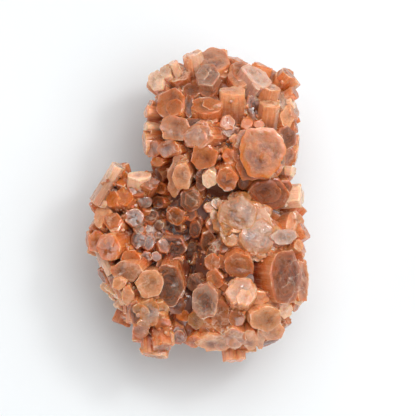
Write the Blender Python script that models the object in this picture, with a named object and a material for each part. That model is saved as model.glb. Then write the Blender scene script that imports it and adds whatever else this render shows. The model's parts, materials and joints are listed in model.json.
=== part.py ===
"""Aragonite sputnik cluster, 50 by 70 by 39 mm: balls of six-sided prisms grown together.

It lies on a small flat spot, as seen from straight above: +X to the right, +Y up, +Z to the front.
"""

import math
import random

import bmesh
import bpy
from mathutils import Vector

# Driving sizes, in millimetres
MM = 0.001
LENGTH = 70.0
FLAT_SPOT = 9.0
FOOT_TIP = (0.5, -2.0, -1.0)
FOOT_LENGTH = 14.0
SIDES = 6
SEED = 11

# Growth centres: heart of each ball, and how far its prisms reach along X, Y and up
LOBES = {
    "upper": {"heart": (5.4, 15.2, 18.5), "reach": (17.5, 18.6, 18.6), "core": 0.80},
    "right": {"heart": (9.6, -14.6, 17.0), "reach": (14.8, 19.0, 16.8), "core": 0.78},
    "left": {"heart": (-11.4, -12.0, 16.0), "reach": (13.0, 20.5, 14.6), "core": 0.68},
    "middle": {"heart": (1.0, -1.0, 15.0), "reach": (15.0, 13.0, 13.5), "core": 0.78},
    "seam": {"heart": (-2.6, -22.0, 14.5), "reach": (8.0, 10.5, 13.0), "core": 0.78},
}
ENVELOPE_FLOOR = 0.06
LEAN_DEPTH = 5.0
STEEPEST_LEAN = 1.15
UNDERSIDE_EXTRA = 1.6

# A prism narrows to this share at its root, and its hexagon's corners stray round and in or out
ROOT_SHARE = 0.96
CORNER_SWAY = 0.16
CORNER_REACH = (0.94, 1.05)
FRONT_ROOT = 0.9

# Outline of the whole cluster as seen from above, clockwise from the crown, in millimetres
OUTLINE = [
    (4.7, 35.2), (9.9, 32.5), (17.0, 30.4), (21.6, 29.0), (21.8, 25.2), (21.8, 21.4), (22.3, 15.6),
    (22.4, 6.0), (23.8, 1.0), (22.9, -2.7), (24.6, -5.0), (23.2, -9.0), (25.1, -15.4), (24.6, -19.0),
    (22.6, -23.0), (18.8, -27.0), (15.8, -31.2), (11.0, -33.4), (8.6, -35.2), (1.1, -33.2),
    (-3.2, -31.4), (-7.6, -33.6), (-10.8, -34.2), (-12.2, -31.4), (-16.4, -26.4), (-16.4, -22.6),
    (-21.4, -12.6), (-25.1, -8.2), (-23.6, -3.4), (-22.9, 1.8), (-17.8, 9.0), (-15.4, 7.2),
    (-10.8, 8.2), (-11.6, 11.8), (-12.2, 16.8), (-12.0, 22.2), (-9.8, 24.0), (-11.2, 28.6),
    (-7.4, 31.4), (-3.2, 32.0), (-1.0, 34.0),
]

# Prisms whose caps face the front: x, y, seen width, seen height, rise over the ball, and for some
# the slope of their lean to the right and up
UPPER_CAPS = [
    (3.4, 32.4, 6.3, 5.0, 0.6), (2.0, 28.7, 4.5, 4.7, 1.6), (-5.0, 29.8, 5.4, 3.8, 0.6),
    (-9.4, 27.8, 3.4, 4.2, 0.0), (-7.4, 29.8, 2.4, 2.4, 0.8), (-8.1, 25.8, 1.8, 3.2, 0.6),
    (-6.1, 22.4, 5.9, 5.9, 0.4), (-2.0, 21.9, 2.0, 4.5, -1.0), (-1.4, 25.5, 3.8, 2.9, -1.6),
    (2.3, 25.5, 3.8, 2.9, -1.6), (2.0, 21.9, 6.3, 3.4, 0.2, -0.1, 0.7), (12.4, 21.9, 2.9, 6.1, -2.4),
    (19.2, 23.1, 2.0, 4.1, 0.2), (9.2, 29.1, 4.1, 5.4, -0.4), (16.6, 28.4, 4.0, 3.4, 0.2),
    (19.6, 28.6, 3.8, 3.6, 0.4), (10.8, 17.7, 2.4, 2.2, -0.4, 0.0, 0.3),
    (13.5, 17.8, 2.1, 1.9, -0.2, 0.1, 0.3), (6.5, 18.1, 3.0, 3.0, -1.2), (7.4, 16.1, 3.4, 2.4, -1.8),
    (-5.2, 17.0, 6.1, 5.0, 0.0), (-0.2, 17.9, 5.9, 2.4, -1.0), (-0.2, 15.0, 5.4, 4.6, 0.6, -0.75, 0.0),
    (-6.8, 12.3, 4.1, 3.6, 0.4, -0.8, -0.1), (1.4, 10.7, 5.2, 5.0, 1.0), (-9.9, 12.3, 2.7, 3.2, 0.6),
    (-9.2, 9.4, 2.7, 2.0, 0.4), (7.0, 10.7, 3.2, 3.2, -0.6), (8.2, 14.4, 2.2, 2.0, -1.0),
    (8.6, 8.4, 2.4, 2.6, -0.6), (-4.3, 9.8, 2.3, 2.2, -0.8), (20.0, 19.5, 2.7, 4.1, 0.2),
    (20.0, 14.8, 3.6, 4.8, 0.4), (20.2, 10.4, 3.2, 4.1, 0.6), (18.6, 9.8, 1.6, 4.1, 1.6),
    (18.0, 6.6, 3.2, 4.5, 0.8), (15.8, 2.1, 7.6, 6.1, 1.6, 0.35, -0.7),
    (-5.4, 5.1, 2.8, 6.6, 0.6, -0.5, -0.5), (-3.6, 6.0, 3.6, 5.4, 1.8, -0.3, -0.6),
    (-1.8, 1.0, 3.8, 5.0, 2.2, -0.4, -0.5), (0.6, 5.3, 2.2, 4.1, -1.0), (2.6, 5.7, 2.9, 3.6, 1.8),
    (6.5, 5.5, 4.4, 4.6, 2.2, 0.0, -0.4), (10.2, 4.6, 2.4, 2.4, -2.6),
]
MIDDLE_CAPS = [
    (4.3, 0.3, 2.3, 2.3, 1.6), (2.5, -0.6, 2.0, 2.2, 0.8), (3.6, -2.4, 1.6, 2.3, 1.0),
    (3.4, -4.6, 2.8, 3.2, 0.8), (2.2, -8.6, 2.8, 5.0, 1.0), (-5.0, -2.6, 3.6, 3.4, 1.6),
    (-1.4, -10.4, 1.8, 3.4, -1.6), (-0.6, -5.6, 2.4, 3.6, -1.4), (-1.6, -2.4, 2.4, 2.6, -0.6),
    (-8.6, 3.8, 2.6, 2.2, 1.2), (-9.0, 0.6, 2.6, 2.6, -0.8), (0.4, -12.6, 2.2, 2.2, 0.8),
    (-1.8, -14.5, 2.7, 2.5, 1.4), (-8.8, -4.6, 2.0, 1.9, 1.0),
]
RIGHT_CAPS = [
    (9.2, -2.0, 7.6, 6.6, 3.6, 0.0, 0.12), (13.2, -7.2, 7.2, 7.0, 0.8, 0.15, 0.05),
    (13.2, -11.2, 7.2, 2.8, -1.2, 0.1, -0.1), (7.2, -7.8, 3.2, 2.6, -0.6),
    (6.4, -5.2, 2.6, 3.0, 0.8, -0.3, 0.2), (19.4, -7.1, 5.0, 3.2, 2.0, 0.9, 0.3),
    (17.4, -6.4, 2.6, 3.4, 1.0), (21.8, -4.6, 3.6, 5.2, 2.2, 1.0, 0.2), (22.6, -9.1, 2.0, 2.4, 2.2),
    (19.6, -16.3, 6.1, 11.2, 1.2, 1.0, -0.1), (23.4, -17.2, 2.7, 8.0, 3.0, 1.15, 0.0),
    (22.8, -21.0, 2.2, 3.0, 3.0), (13.7, -15.2, 2.8, 4.1, -5.0),
    (9.2, -13.6, 5.4, 5.0, -0.4, 0.0, -0.5), (4.7, -8.9, 3.0, 2.4, -3.0), (3.2, -12.8, 3.2, 3.4, -1.6),
    (3.6, -16.8, 3.4, 4.2, -1.0), (-1.1, -17.4, 2.9, 3.4, -1.6),
    (1.6, -21.5, 5.0, 6.8, 2.0, -0.3, -0.2), (-0.5, -25.8, 3.2, 3.6, 2.4),
    (9.7, -19.2, 5.9, 5.4, 1.2, 0.0, 0.35), (17.1, -21.5, 2.6, 3.4, 0.4),
    (15.1, -25.5, 6.1, 5.0, 1.6, 0.5, -0.6), (13.5, -20.8, 4.1, 3.0, -0.6),
    (8.3, -30.0, 4.3, 4.1, 1.4, 0.0, -0.9), (3.8, -31.0, 7.6, 3.6, 2.2, -0.1, -1.1),
    (11.7, -30.3, 3.2, 4.1, 0.8), (14.0, -30.0, 2.0, 4.1, 1.4), (16.6, -28.4, 4.8, 4.0, 2.2),
    (19.6, -23.7, 2.7, 3.2, 1.4), (1.8, -27.8, 3.0, 3.8, 0.8), (5.0, -24.9, 3.6, 6.6, -0.6),
    (8.6, -25.4, 3.4, 3.6, -0.4), (-1.1, -30.8, 3.2, 2.4, 2.4), (-2.6, -28.2, 2.6, 3.0, 0.6),
]
LEFT_CAPS = [
    (-4.5, -29.4, 3.4, 3.8, 2.0, 0.2, -0.9), (-7.7, -30.4, 4.5, 4.1, 1.2, 0.0, -1.0),
    (-12.8, -28.2, 3.4, 3.2, 0.6), (-14.0, -24.2, 2.4, 4.6, 1.0), (-10.8, -24.2, 4.1, 5.4, 1.4),
    (-8.1, -23.5, 3.2, 3.2, 1.0), (-7.9, -26.7, 3.6, 2.7, 0.4), (-15.6, -20.4, 2.6, 3.8, 0.6),
    (-10.8, -17.7, 5.2, 5.6, 1.8, -0.1, -0.2), (-6.5, -17.9, 5.9, 8.1, 1.6, -0.15, -0.45),
    (-16.0, -15.0, 6.3, 4.1, 0.6, -0.5, -0.5), (-14.9, -12.2, 4.1, 3.6, 0.4),
    (-20.0, -9.6, 4.5, 5.4, 2.2, -0.8, -0.2), (-23.0, -8.2, 3.2, 4.4, 2.0),
    (-18.9, -3.9, 3.8, 3.6, 0.8), (-14.0, -3.0, 3.8, 3.6, -1.4, 0.2, 0.1),
    (-13.1, -5.4, 2.6, 2.0, -2.0), (-11.9, 0.6, 3.0, 2.8, -3.0, 0.2, -0.1),
    (-13.3, -7.8, 3.0, 3.4, -1.6), (-11.0, -8.4, 2.6, 3.4, -2.2), (-10.4, -2.6, 3.2, 2.5, -4.4),
    (-11.5, -11.6, 2.2, 2.2, -1.6), (-9.2, -11.6, 2.2, 2.0, -2.0),
    (-17.1, 6.0, 3.0, 3.2, 4.6, -0.3, 0.9), (-12.9, 6.6, 4.6, 1.8, 5.4, 0.1, 1.1),
    (-10.4, 4.8, 3.2, 2.4, 3.0, 0.2, 0.5), (-13.6, 3.6, 3.6, 3.4, 1.0, 0.0, 0.4),
    (-16.6, 1.8, 3.4, 3.6, 1.4, -0.3, 0.4), (-19.2, 1.2, 2.6, 3.4, 3.0, -0.8, 0.4),
    (-21.6, 0.3, 2.0, 1.8, 5.0, -1.0, 0.4), (-22.2, -2.8, 2.0, 3.8, 3.4), (-20.9, -1.4, 2.2, 2.2, 1.8),
    (-7.6, -13.4, 3.0, 2.2, -1.0, 0.2, 0.5), (-13.2, -20.4, 2.4, 2.6, -0.8),
    (-4.6, -22.6, 3.4, 3.6, 0.2), (-3.4, -25.6, 3.2, 3.6, 0.0), (-4.4, -13.0, 2.2, 2.4, 0.6),
    (-17.6, -17.6, 2.8, 2.6, 1.4), (-4.7, -5.7, 5.9, 4.6, -3.2, 0.1, -0.2),
    (-6.1, -10.0, 6.3, 5.0, -2.8, -0.1, -0.2),
]

# Prisms seen from their sides: end x, y, z, heading, climb, width, depth and length
SIDE_ON = [
    (-1.8, 33.4, 25.0, 100, 18, 3.4, 4.4, 12.0), (7.7, 25.2, 35.0, 88, 26, 6.3, 4.2, 9.0),
    (16.2, 26.2, 31.0, 74, 22, 4.6, 4.0, 9.0), (16.0, 22.4, 33.4, 82, 24, 4.6, 3.6, 8.0),
    (14.4, 31.0, 25.0, 72, 10, 4.6, 4.0, 12.0), (20.4, 29.4, 24.0, 48, 12, 3.8, 4.6, 13.0),
    (-5.6, 31.8, 25.4, 112, 22, 2.2, 2.6, 9.0), (23.2, 2.0, 25.6, 4, 14, 5.4, 4.6, 12.0),
    (8.3, -35.1, 20.0, -84, 10, 5.2, 4.6, 14.0), (-9.4, -34.2, 21.0, -100, 14, 5.8, 3.8, 12.0),
    (-17.6, 8.8, 24.6, 58, 10, 2.6, 5.4, 10.0), (-17.9, 8.0, 22.0, 110, 20, 3.4, 4.0, 10.0),
    (-11.6, 20.8, 26.0, 172, 16, 2.8, 3.4, 9.0), (-11.8, 17.4, 26.6, 178, 20, 2.0, 2.8, 9.0),
    (-12.0, 13.8, 25.4, 184, 14, 5.2, 3.8, 10.0), (-24.8, -8.0, 20.6, 184, 14, 4.2, 3.8, 12.0),
    (24.4, -17.0, 22.0, 2, 12, 7.6, 3.4, 12.0), (21.4, 7.4, 27.6, -6, 24, 2.4, 2.8, 8.0),
    (21.4, 22.8, 25.6, 20, 16, 2.8, 3.0, 8.0), (21.2, 25.4, 24.6, 30, 16, 2.2, 2.8, 8.0),
    (-20.0, -14.0, 21.6, 205, 26, 4.2, 3.4, 9.0), (-18.6, -16.8, 21.4, 209, 28, 3.6, 3.6, 9.0),
    (-17.4, -19.8, 21.4, 212, 26, 3.8, 3.4, 9.0), (-16.0, -23.0, 21.0, 218, 24, 3.6, 3.8, 9.0),
]

# Big crystals with outlines of their own: centre, height of the cap, lean, and corners round it
HEXAGON_CENTRE = (14.0, 11.5, 37.9)
HEXAGON_LEAN = (0.05, -0.05)
HEXAGON = [
    (-3.6, 5.0), (2.7, 5.4), (4.7, 2.6), (5.6, 0.2), (4.1, -2.8), (2.3, -5.4), (-2.5, -5.6),
    (-4.6, -1.6), (-4.8, 0.8),
]
LEDGE_CENTRE = (13.2, 11.2, 36.6)
LEDGE = [
    (-4.4, 5.8), (3.0, 5.6), (5.6, 2.6), (6.3, -0.2), (4.6, -3.6), (2.6, -5.9), (-3.4, -6.3),
    (-5.6, -2.4), (-6.0, 2.2),
]
PLATE_CENTRE = (10.6, -4.8, 31.4)
PLATE_LEAN = (0.05, 0.1)
PLATE = [
    (-6.3, 1.8), (-5.2, 5.6), (-1.1, 6.9), (3.8, 4.4), (5.6, 1.8), (5.8, -3.8), (3.8, -7.2),
    (1.1, -6.5), (-1.1, -4.5), (-3.8, -2.7), (-5.2, -0.5),
]
SLAB_CENTRE = (13.1, 28.6, 31.6)
SLAB_LEAN = (0.55, 0.75)
SLAB = [(-3.5, 1.8), (-1.5, 2.8), (1.4, 1.2), (3.7, -1.5), (1.5, -3.0), (-1.2, -1.0)]
BIG_ROOT = 16.0

# Prisms placed by rule: on the rim, under the caps and all over the back
RIM_SPACING = 5.4
RIM_WIDTH = (3.2, 5.4)
RIM_CLIMB = (-14.0, 22.0)
RIM_REACH = (0.93, 0.995)
RIM_DEPTH = (0.8, 1.2)
RIM_ROOT = 0.8
BACK_COUNT = {"upper": 20, "right": 17, "left": 16, "middle": 4, "seam": 3}
BACK_WIDTH = (4.8, 8.2)
BACK_SWAY = 0.06
BACK_MARGIN = 0.4
BACK_REACH = (0.94, 1.0)
BACK_DEPTH = (0.75, 1.1)
BACK_ROOT = 0.85
GAP_COUNT = {"upper": 6, "right": 7, "left": 6, "middle": 4, "seam": 2}
GAP_WIDTH = (3.0, 4.4)
GAP_SWAY = 1.2
GAP_DEPTH = (0.8, 1.1)
GAP_ROOT = 0.6
GOLDEN_ANGLE = math.pi * (3.0 - math.sqrt(5.0))
NEARLY_ZERO = 1e-9
NEARLY_UPRIGHT = 0.05


def clear_scene():
    """Empty the scene."""
    for thing in list(bpy.data.objects):
        bpy.data.objects.remove(thing)


def aragonite_material():
    """Brownish orange aragonite, waxy on its caps."""
    material = bpy.data.materials.new("aragonite")
    material.use_nodes = True
    shader = material.node_tree.nodes["Principled BSDF"]
    shader.inputs["Base Color"].default_value = (0.52, 0.22, 0.11, 1.0)
    shader.inputs["Roughness"].default_value = 0.35
    shader.inputs["Metallic"].default_value = 0.0
    return material


def ball_height(lobe, x, y):
    """Height of a ball's envelope over a point, low but never gone past its rim."""
    hx, hy, hz = lobe["heart"]
    rx, ry, rz = lobe["reach"]
    inside = 1.0 - ((x - hx) / rx) ** 2 - ((y - hy) / ry) ** 2
    return hz + rz * math.sqrt(max(inside, ENVELOPE_FLOOR))


def lean_from_heart(lobe, tip):
    """Direction from deep in a ball to a cap, never flatter than the steepest lean."""
    hx, hy, hz = lobe["heart"]
    slope = Vector((tip[0] - hx, tip[1] - hy)) / (tip[2] - hz + LEAN_DEPTH)
    if slope.length > STEEPEST_LEAN:
        slope = slope * (STEEPEST_LEAN / slope.length)
    return Vector((slope.x, slope.y, 1.0)).normalized()


def rough_hexagon(rng, width, height):
    """Corners of an uneven hexagon that fills a width and a height."""
    turn = rng.uniform(0.0, math.tau)
    spread = 0.5 / math.cos(math.pi / SIDES) ** 0.5
    corners = []
    for k in range(SIDES):
        angle = turn + (k + rng.uniform(-CORNER_SWAY, CORNER_SWAY)) * math.tau / SIDES
        size = spread * rng.uniform(*CORNER_REACH)
        corners.append((width * size * math.cos(angle), height * size * math.sin(angle)))
    return corners


def add_prism(collection, name, cap, axis, length, root_share=ROOT_SHARE):
    """One closed prism from its cap corners back along its axis, in millimetres."""
    count = len(cap)
    middle = sum(cap, Vector()) / count
    root_middle = middle - axis * length
    shape = bmesh.new()
    top = [shape.verts.new(corner * MM) for corner in cap]
    root = [shape.verts.new((root_middle + (corner - middle) * root_share) * MM) for corner in cap]
    shape.faces.new(top)
    shape.faces.new(list(reversed(root)))
    for k in range(count):
        after = (k + 1) % count
        shape.faces.new((root[k], root[after], top[after], top[k]))
    bmesh.ops.recalc_face_normals(shape, faces=shape.faces)
    mesh = bpy.data.meshes.new(name)
    shape.to_mesh(mesh)
    shape.free()
    prism = bpy.data.objects.new(name, mesh)
    collection.objects.link(prism)
    prism.hide_render = True
    prism.display_type = "WIRE"
    return prism


def cast_on_cap(centre, axis, corners):
    """Corners seen from the front, laid on the cap's tilted plane."""
    cap = []
    for a, b in corners:
        drop = (a * axis.x + b * axis.y) / axis.z
        cap.append(centre + Vector((a, b, -drop)))
    return cap


def front_prisms(collection, rng):
    """The prisms that the front shows by their caps."""
    tables = {"upper": UPPER_CAPS, "middle": MIDDLE_CAPS, "right": RIGHT_CAPS, "left": LEFT_CAPS}
    for side, rows in tables.items():
        lobe = LOBES[side]
        heart = Vector(lobe["heart"])
        for number, (x, y, width, height, rise, *lean) in enumerate(rows):
            tip = Vector((x, y, ball_height(lobe, x, y) + rise))
            axis = Vector((*lean, 1.0)).normalized() if lean else lean_from_heart(lobe, tip)
            cap = cast_on_cap(tip, axis, rough_hexagon(rng, width, height))
            add_prism(collection, f"{side}_cap_{number}", cap, axis, (tip - heart).length * FRONT_ROOT)


def big_crystals(collection):
    """The hexagon, the ledge under it, the pale plate and the tilted slab."""
    rows = (
        ("hexagon", HEXAGON_CENTRE, HEXAGON_LEAN, HEXAGON),
        ("ledge", LEDGE_CENTRE, HEXAGON_LEAN, LEDGE),
        ("plate", PLATE_CENTRE, PLATE_LEAN, PLATE),
        ("slab", SLAB_CENTRE, SLAB_LEAN, SLAB),
    )
    for name, centre, lean, corners in rows:
        axis = Vector((*lean, 1.0)).normalized()
        add_prism(collection, name, cast_on_cap(Vector(centre), axis, corners), axis, BIG_ROOT)


def heading_axis(heading, climb):
    """Direction with a heading in the plane and a climb out of it, both in degrees."""
    flat = math.cos(math.radians(climb))
    turn = math.radians(heading)
    return Vector((flat * math.cos(turn), flat * math.sin(turn), math.sin(math.radians(climb))))


def upright_cap(rng, tip, axis, width, depth):
    """Cap corners square to an axis, width across it and depth along the height."""
    across = Vector((-axis.y, axis.x, 0.0)).normalized()
    upward = axis.cross(across)
    return [tip + across * a + upward * b for a, b in rough_hexagon(rng, width, depth)]


def side_on_prisms(collection, rng):
    """The prisms that the front shows by their sides."""
    for number, (x, y, z, heading, climb, width, depth, length) in enumerate(SIDE_ON):
        axis = heading_axis(heading, climb)
        cap = upright_cap(rng, Vector((x, y, z)), axis, width, depth)
        add_prism(collection, f"side_on_{number}", cap, axis, length, 1.0)


def outline_steps(spacing):
    """Points along the outline, a spacing apart."""
    points = []
    for k, (x, y) in enumerate(OUTLINE):
        start = Vector((x, y))
        run = Vector(OUTLINE[(k + 1) % len(OUTLINE)]) - start
        count = max(1, round(run.length / spacing))
        points.extend(start + run * (step / count) for step in range(count))
    return points


def nearest_lobe(point):
    """The outer ball whose envelope a point in the plane lies nearest to."""

    def distance(side):
        hx, hy, _ = LOBES[side]["heart"]
        rx, ry, _ = LOBES[side]["reach"]
        return ((point.x - hx) / rx) ** 2 + ((point.y - hy) / ry) ** 2

    return LOBES[min(("upper", "right", "left"), key=distance)]


def rim_prisms(collection, rng):
    """A ring of prisms that ends on the outline, at about the height of the hearts."""
    for number, point in enumerate(outline_steps(RIM_SPACING)):
        lobe = nearest_lobe(point)
        hx, hy, hz = lobe["heart"]
        away = point - Vector((hx, hy))
        climb = rng.uniform(*RIM_CLIMB)
        width = rng.uniform(*RIM_WIDTH)
        axis = heading_axis(math.degrees(math.atan2(away.y, away.x)), climb)
        reach = away.length * rng.uniform(*RIM_REACH)
        tip = Vector((hx, hy, hz)) + axis * (reach / math.hypot(axis.x, axis.y))
        cap = upright_cap(rng, tip, axis, width, width * rng.uniform(*RIM_DEPTH))
        add_prism(collection, f"rim_{number}", cap, axis, reach * RIM_ROOT)


def reach_in_plane(heart, direction):
    """How far the outline lies from a heart along a direction in the plane."""
    best = LENGTH
    for k, (x, y) in enumerate(OUTLINE):
        start = Vector((x, y)) - heart
        run = Vector(OUTLINE[(k + 1) % len(OUTLINE)]) - Vector((x, y))
        cross = direction.x * run.y - direction.y * run.x
        if abs(cross) < NEARLY_ZERO:
            continue
        far = (start.x * run.y - start.y * run.x) / cross
        along = (start.x * direction.y - start.y * direction.x) / cross
        if far > 0.0 and 0.0 <= along <= 1.0:
            best = min(best, far)
    return best


def back_prisms(collection, rng):
    """Prisms all over the underside, with the outline as their limit."""
    for side, count in BACK_COUNT.items():
        lobe = LOBES[side]
        heart = Vector(lobe["heart"])
        rx, ry, _ = lobe["reach"]
        low = lobe["heart"][2] + UNDERSIDE_EXTRA
        for number in range(count):
            height = -(number + 0.5) / count
            turn = number * GOLDEN_ANGLE
            ring = math.sqrt(1.0 - height * height)
            axis = Vector((ring * math.cos(turn), ring * math.sin(turn), height))
            axis = (axis + Vector([rng.gauss(0.0, BACK_SWAY) for _ in range(3)])).normalized()
            width = rng.uniform(*BACK_WIDTH)
            length = 1.0 / math.sqrt((axis.x / rx) ** 2 + (axis.y / ry) ** 2 + (axis.z / low) ** 2)
            flat = math.hypot(axis.x, axis.y)
            if flat > NEARLY_UPRIGHT:
                direction = Vector((axis.x, axis.y)) / flat
                limit = reach_in_plane(Vector((heart.x, heart.y)), direction)
                length = min(length, (limit - BACK_MARGIN * width * abs(axis.z)) / flat)
            length *= rng.uniform(*BACK_REACH)
            cap = upright_cap(rng, heart + axis * length, axis, width, width * rng.uniform(*BACK_DEPTH))
            add_prism(collection, f"{side}_back_{number}", cap, axis, length * BACK_ROOT)


def gap_prisms(collection, rng):
    """Smaller, shorter prisms that show in the gaps between the caps."""
    for side, count in GAP_COUNT.items():
        lobe = LOBES[side]
        heart = Vector(lobe["heart"])
        rx, ry, rz = (0.5 * (1.0 + lobe["core"]) * reach for reach in lobe["reach"])
        for number in range(count):
            height = (number + 0.5) / count
            turn = number * GOLDEN_ANGLE + 1.0
            ring = math.sqrt(1.0 - height * height)
            offset = Vector((ring * math.cos(turn) * rx, ring * math.sin(turn) * ry, height * rz))
            axis = (offset + Vector([rng.gauss(0.0, GAP_SWAY) for _ in range(3)])).normalized()
            width = rng.uniform(*GAP_WIDTH)
            cap = upright_cap(rng, heart + offset, axis, width, width * rng.uniform(*GAP_DEPTH))
            add_prism(collection, f"{side}_gap_{number}", cap, axis, offset.length * GAP_ROOT)


def foot_prism(collection, rng):
    """The crystal at the middle of the underside, which the specimen's flat spot cuts across."""
    axis = Vector((0.0, 0.0, -1.0))
    tip = Vector(FOOT_TIP)
    cap = [tip + Vector((a, b, 0.0)) for a, b in rough_hexagon(rng, FLAT_SPOT, FLAT_SPOT)]
    add_prism(collection, "foot", cap, axis, FOOT_LENGTH)


def core(lobe, name):
    """The solid middle of a ball, where its prisms have grown into each other."""
    bpy.ops.mesh.primitive_ico_sphere_add(subdivisions=2, radius=1.0)
    ball = bpy.context.object
    ball.name = name
    heart = Vector(lobe["heart"])
    for vertex in ball.data.vertices:
        sized = [c * r * lobe["core"] for c, r in zip(vertex.co, lobe["reach"])]
        vertex.co = (heart + Vector(sized)) * MM
    return ball


def merge(base, name, operation, operand, many=False):
    """Union with or cut by another object or a whole collection of them."""
    step = base.modifiers.new(name, "BOOLEAN")
    step.operation = operation
    step.solver = "MANIFOLD"
    if many:
        step.operand_type = "COLLECTION"
        step.collection = operand
    else:
        step.object = operand


def floor_block():
    """The block below the surface that the specimen rests on, which cuts its flat spot."""
    bpy.ops.mesh.primitive_cube_add(size=1.0, location=(0.0, 0.0, -10.0 * MM))
    block = bpy.context.object
    block.name = "floor_block"
    block.scale = (2.0 * LENGTH * MM, 2.0 * LENGTH * MM, 20.0 * MM)
    block.hide_render = True
    block.display_type = "WIRE"
    return block


def keep_outer_skin(thing):
    """Apply the unions, and fill the pockets that no gap between prisms reaches."""
    depsgraph = bpy.context.evaluated_depsgraph_get()
    mesh = bpy.data.meshes.new_from_object(thing.evaluated_get(depsgraph))
    thing.modifiers.clear()
    thing.data = mesh
    shape = bmesh.new()
    shape.from_mesh(mesh)
    left = set(shape.verts)
    shells = []
    while left:
        shell = []
        queue = [left.pop()]
        while queue:
            vertex = queue.pop()
            shell.append(vertex)
            for edge in vertex.link_edges:
                other = edge.other_vert(vertex)
                if other in left:
                    left.remove(other)
                    queue.append(other)
        shells.append(shell)
    shells.sort(key=len)
    for shell in shells[:-1]:
        bmesh.ops.delete(shape, geom=shell, context="VERTS")
    bmesh.ops.triangulate(shape, faces=shape.faces)
    shape.to_mesh(mesh)
    shape.free()


def build_cluster():
    """The whole specimen, one solid."""
    rng = random.Random(SEED)
    prisms = bpy.data.collections.new("prisms")
    bpy.context.scene.collection.children.link(prisms)
    front_prisms(prisms, rng)
    big_crystals(prisms)
    side_on_prisms(prisms, rng)
    rim_prisms(prisms, rng)
    back_prisms(prisms, rng)
    gap_prisms(prisms, rng)
    foot_prism(prisms, rng)
    for side in ("right", "left", "middle", "seam"):
        ball = core(LOBES[side], f"{side}_core")
        for holder in list(ball.users_collection):
            holder.objects.unlink(ball)
        prisms.objects.link(ball)
        ball.hide_render = True
        ball.display_type = "WIRE"
    cluster = core(LOBES["upper"], "aragonite_cluster")
    merge(cluster, "grown_together", "UNION", prisms, many=True)
    merge(cluster, "flat_spot", "DIFFERENCE", floor_block())
    keep_outer_skin(cluster)
    cluster.data.materials.clear()
    cluster.data.materials.append(aragonite_material())
    return cluster


clear_scene()
build_cluster()
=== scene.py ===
"""Aragonite sputnik cluster: the finished look of its orange-brown prisms, grown together in balls."""

import json
import math
import random

import bmesh
import bpy
import numpy as np
from bpy.props import FloatProperty, FloatVectorProperty, IntProperty, PointerProperty
from mathutils import Matrix, Vector, noise

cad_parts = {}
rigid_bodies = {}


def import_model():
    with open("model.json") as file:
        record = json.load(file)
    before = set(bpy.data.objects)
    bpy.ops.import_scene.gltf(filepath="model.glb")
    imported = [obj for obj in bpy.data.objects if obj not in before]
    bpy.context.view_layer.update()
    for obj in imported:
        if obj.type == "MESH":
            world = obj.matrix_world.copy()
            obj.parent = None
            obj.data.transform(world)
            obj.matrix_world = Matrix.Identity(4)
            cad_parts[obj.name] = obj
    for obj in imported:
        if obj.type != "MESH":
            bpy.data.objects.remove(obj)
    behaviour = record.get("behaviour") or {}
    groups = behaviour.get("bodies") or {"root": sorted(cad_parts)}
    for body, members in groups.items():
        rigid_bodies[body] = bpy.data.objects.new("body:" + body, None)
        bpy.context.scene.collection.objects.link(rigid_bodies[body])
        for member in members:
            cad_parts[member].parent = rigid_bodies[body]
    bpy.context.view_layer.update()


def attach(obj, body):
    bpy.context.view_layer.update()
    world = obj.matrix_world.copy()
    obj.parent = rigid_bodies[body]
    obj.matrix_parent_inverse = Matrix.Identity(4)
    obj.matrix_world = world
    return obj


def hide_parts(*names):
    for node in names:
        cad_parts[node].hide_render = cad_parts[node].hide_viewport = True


bl_info = {
    "name": "Aragonite sputnik cluster",
    "version": (1, 0, 0),
    "blender": (4, 5, 0),
    "location": "View3D > Sidebar > Aragonite",
    "description": "Grows a cluster of aragonite prisms on its packed solid",
    "category": "Add Mesh",
}

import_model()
NODE = "aragonite_cluster"
MM = 0.001
LENGTH = 70.0
SIDES = 6
SEED = 11

# Growth centres: heart of each ball, how far its prisms reach along X, Y and up, and the share of
# that reach where they have grown into one mass, all in millimetres as in the solid
LOBES = {
    "upper": {"heart": (5.4, 15.2, 18.5), "reach": (17.5, 18.6, 18.6), "core": 0.80},
    "right": {"heart": (9.6, -14.6, 17.0), "reach": (14.8, 19.0, 16.8), "core": 0.78},
    "left": {"heart": (-11.4, -12.0, 16.0), "reach": (13.0, 20.5, 14.6), "core": 0.68},
    "middle": {"heart": (1.0, -1.0, 15.0), "reach": (15.0, 13.0, 13.5), "core": 0.78},
    "seam": {"heart": (-2.6, -22.0, 14.5), "reach": (8.0, 10.5, 13.0), "core": 0.78},
}
ENVELOPE_FLOOR = 0.06
LEAN_DEPTH = 5.0
STEEPEST_LEAN = 1.15
UNDERSIDE_EXTRA = 1.6
FLAT_SPOT = 9.0
FOOT_TIP = (0.5, -2.0, -1.0)
FOOT_LENGTH = 14.0
BLOCK_HEIGHT = 20.0

# A prism narrows to this share at its root, and its hexagon's corners stray round and in or out
ROOT_SHARE = 0.96
CORNER_SWAY = 0.16
CORNER_REACH = (0.94, 1.05)
FRONT_ROOT = 0.9

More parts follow.
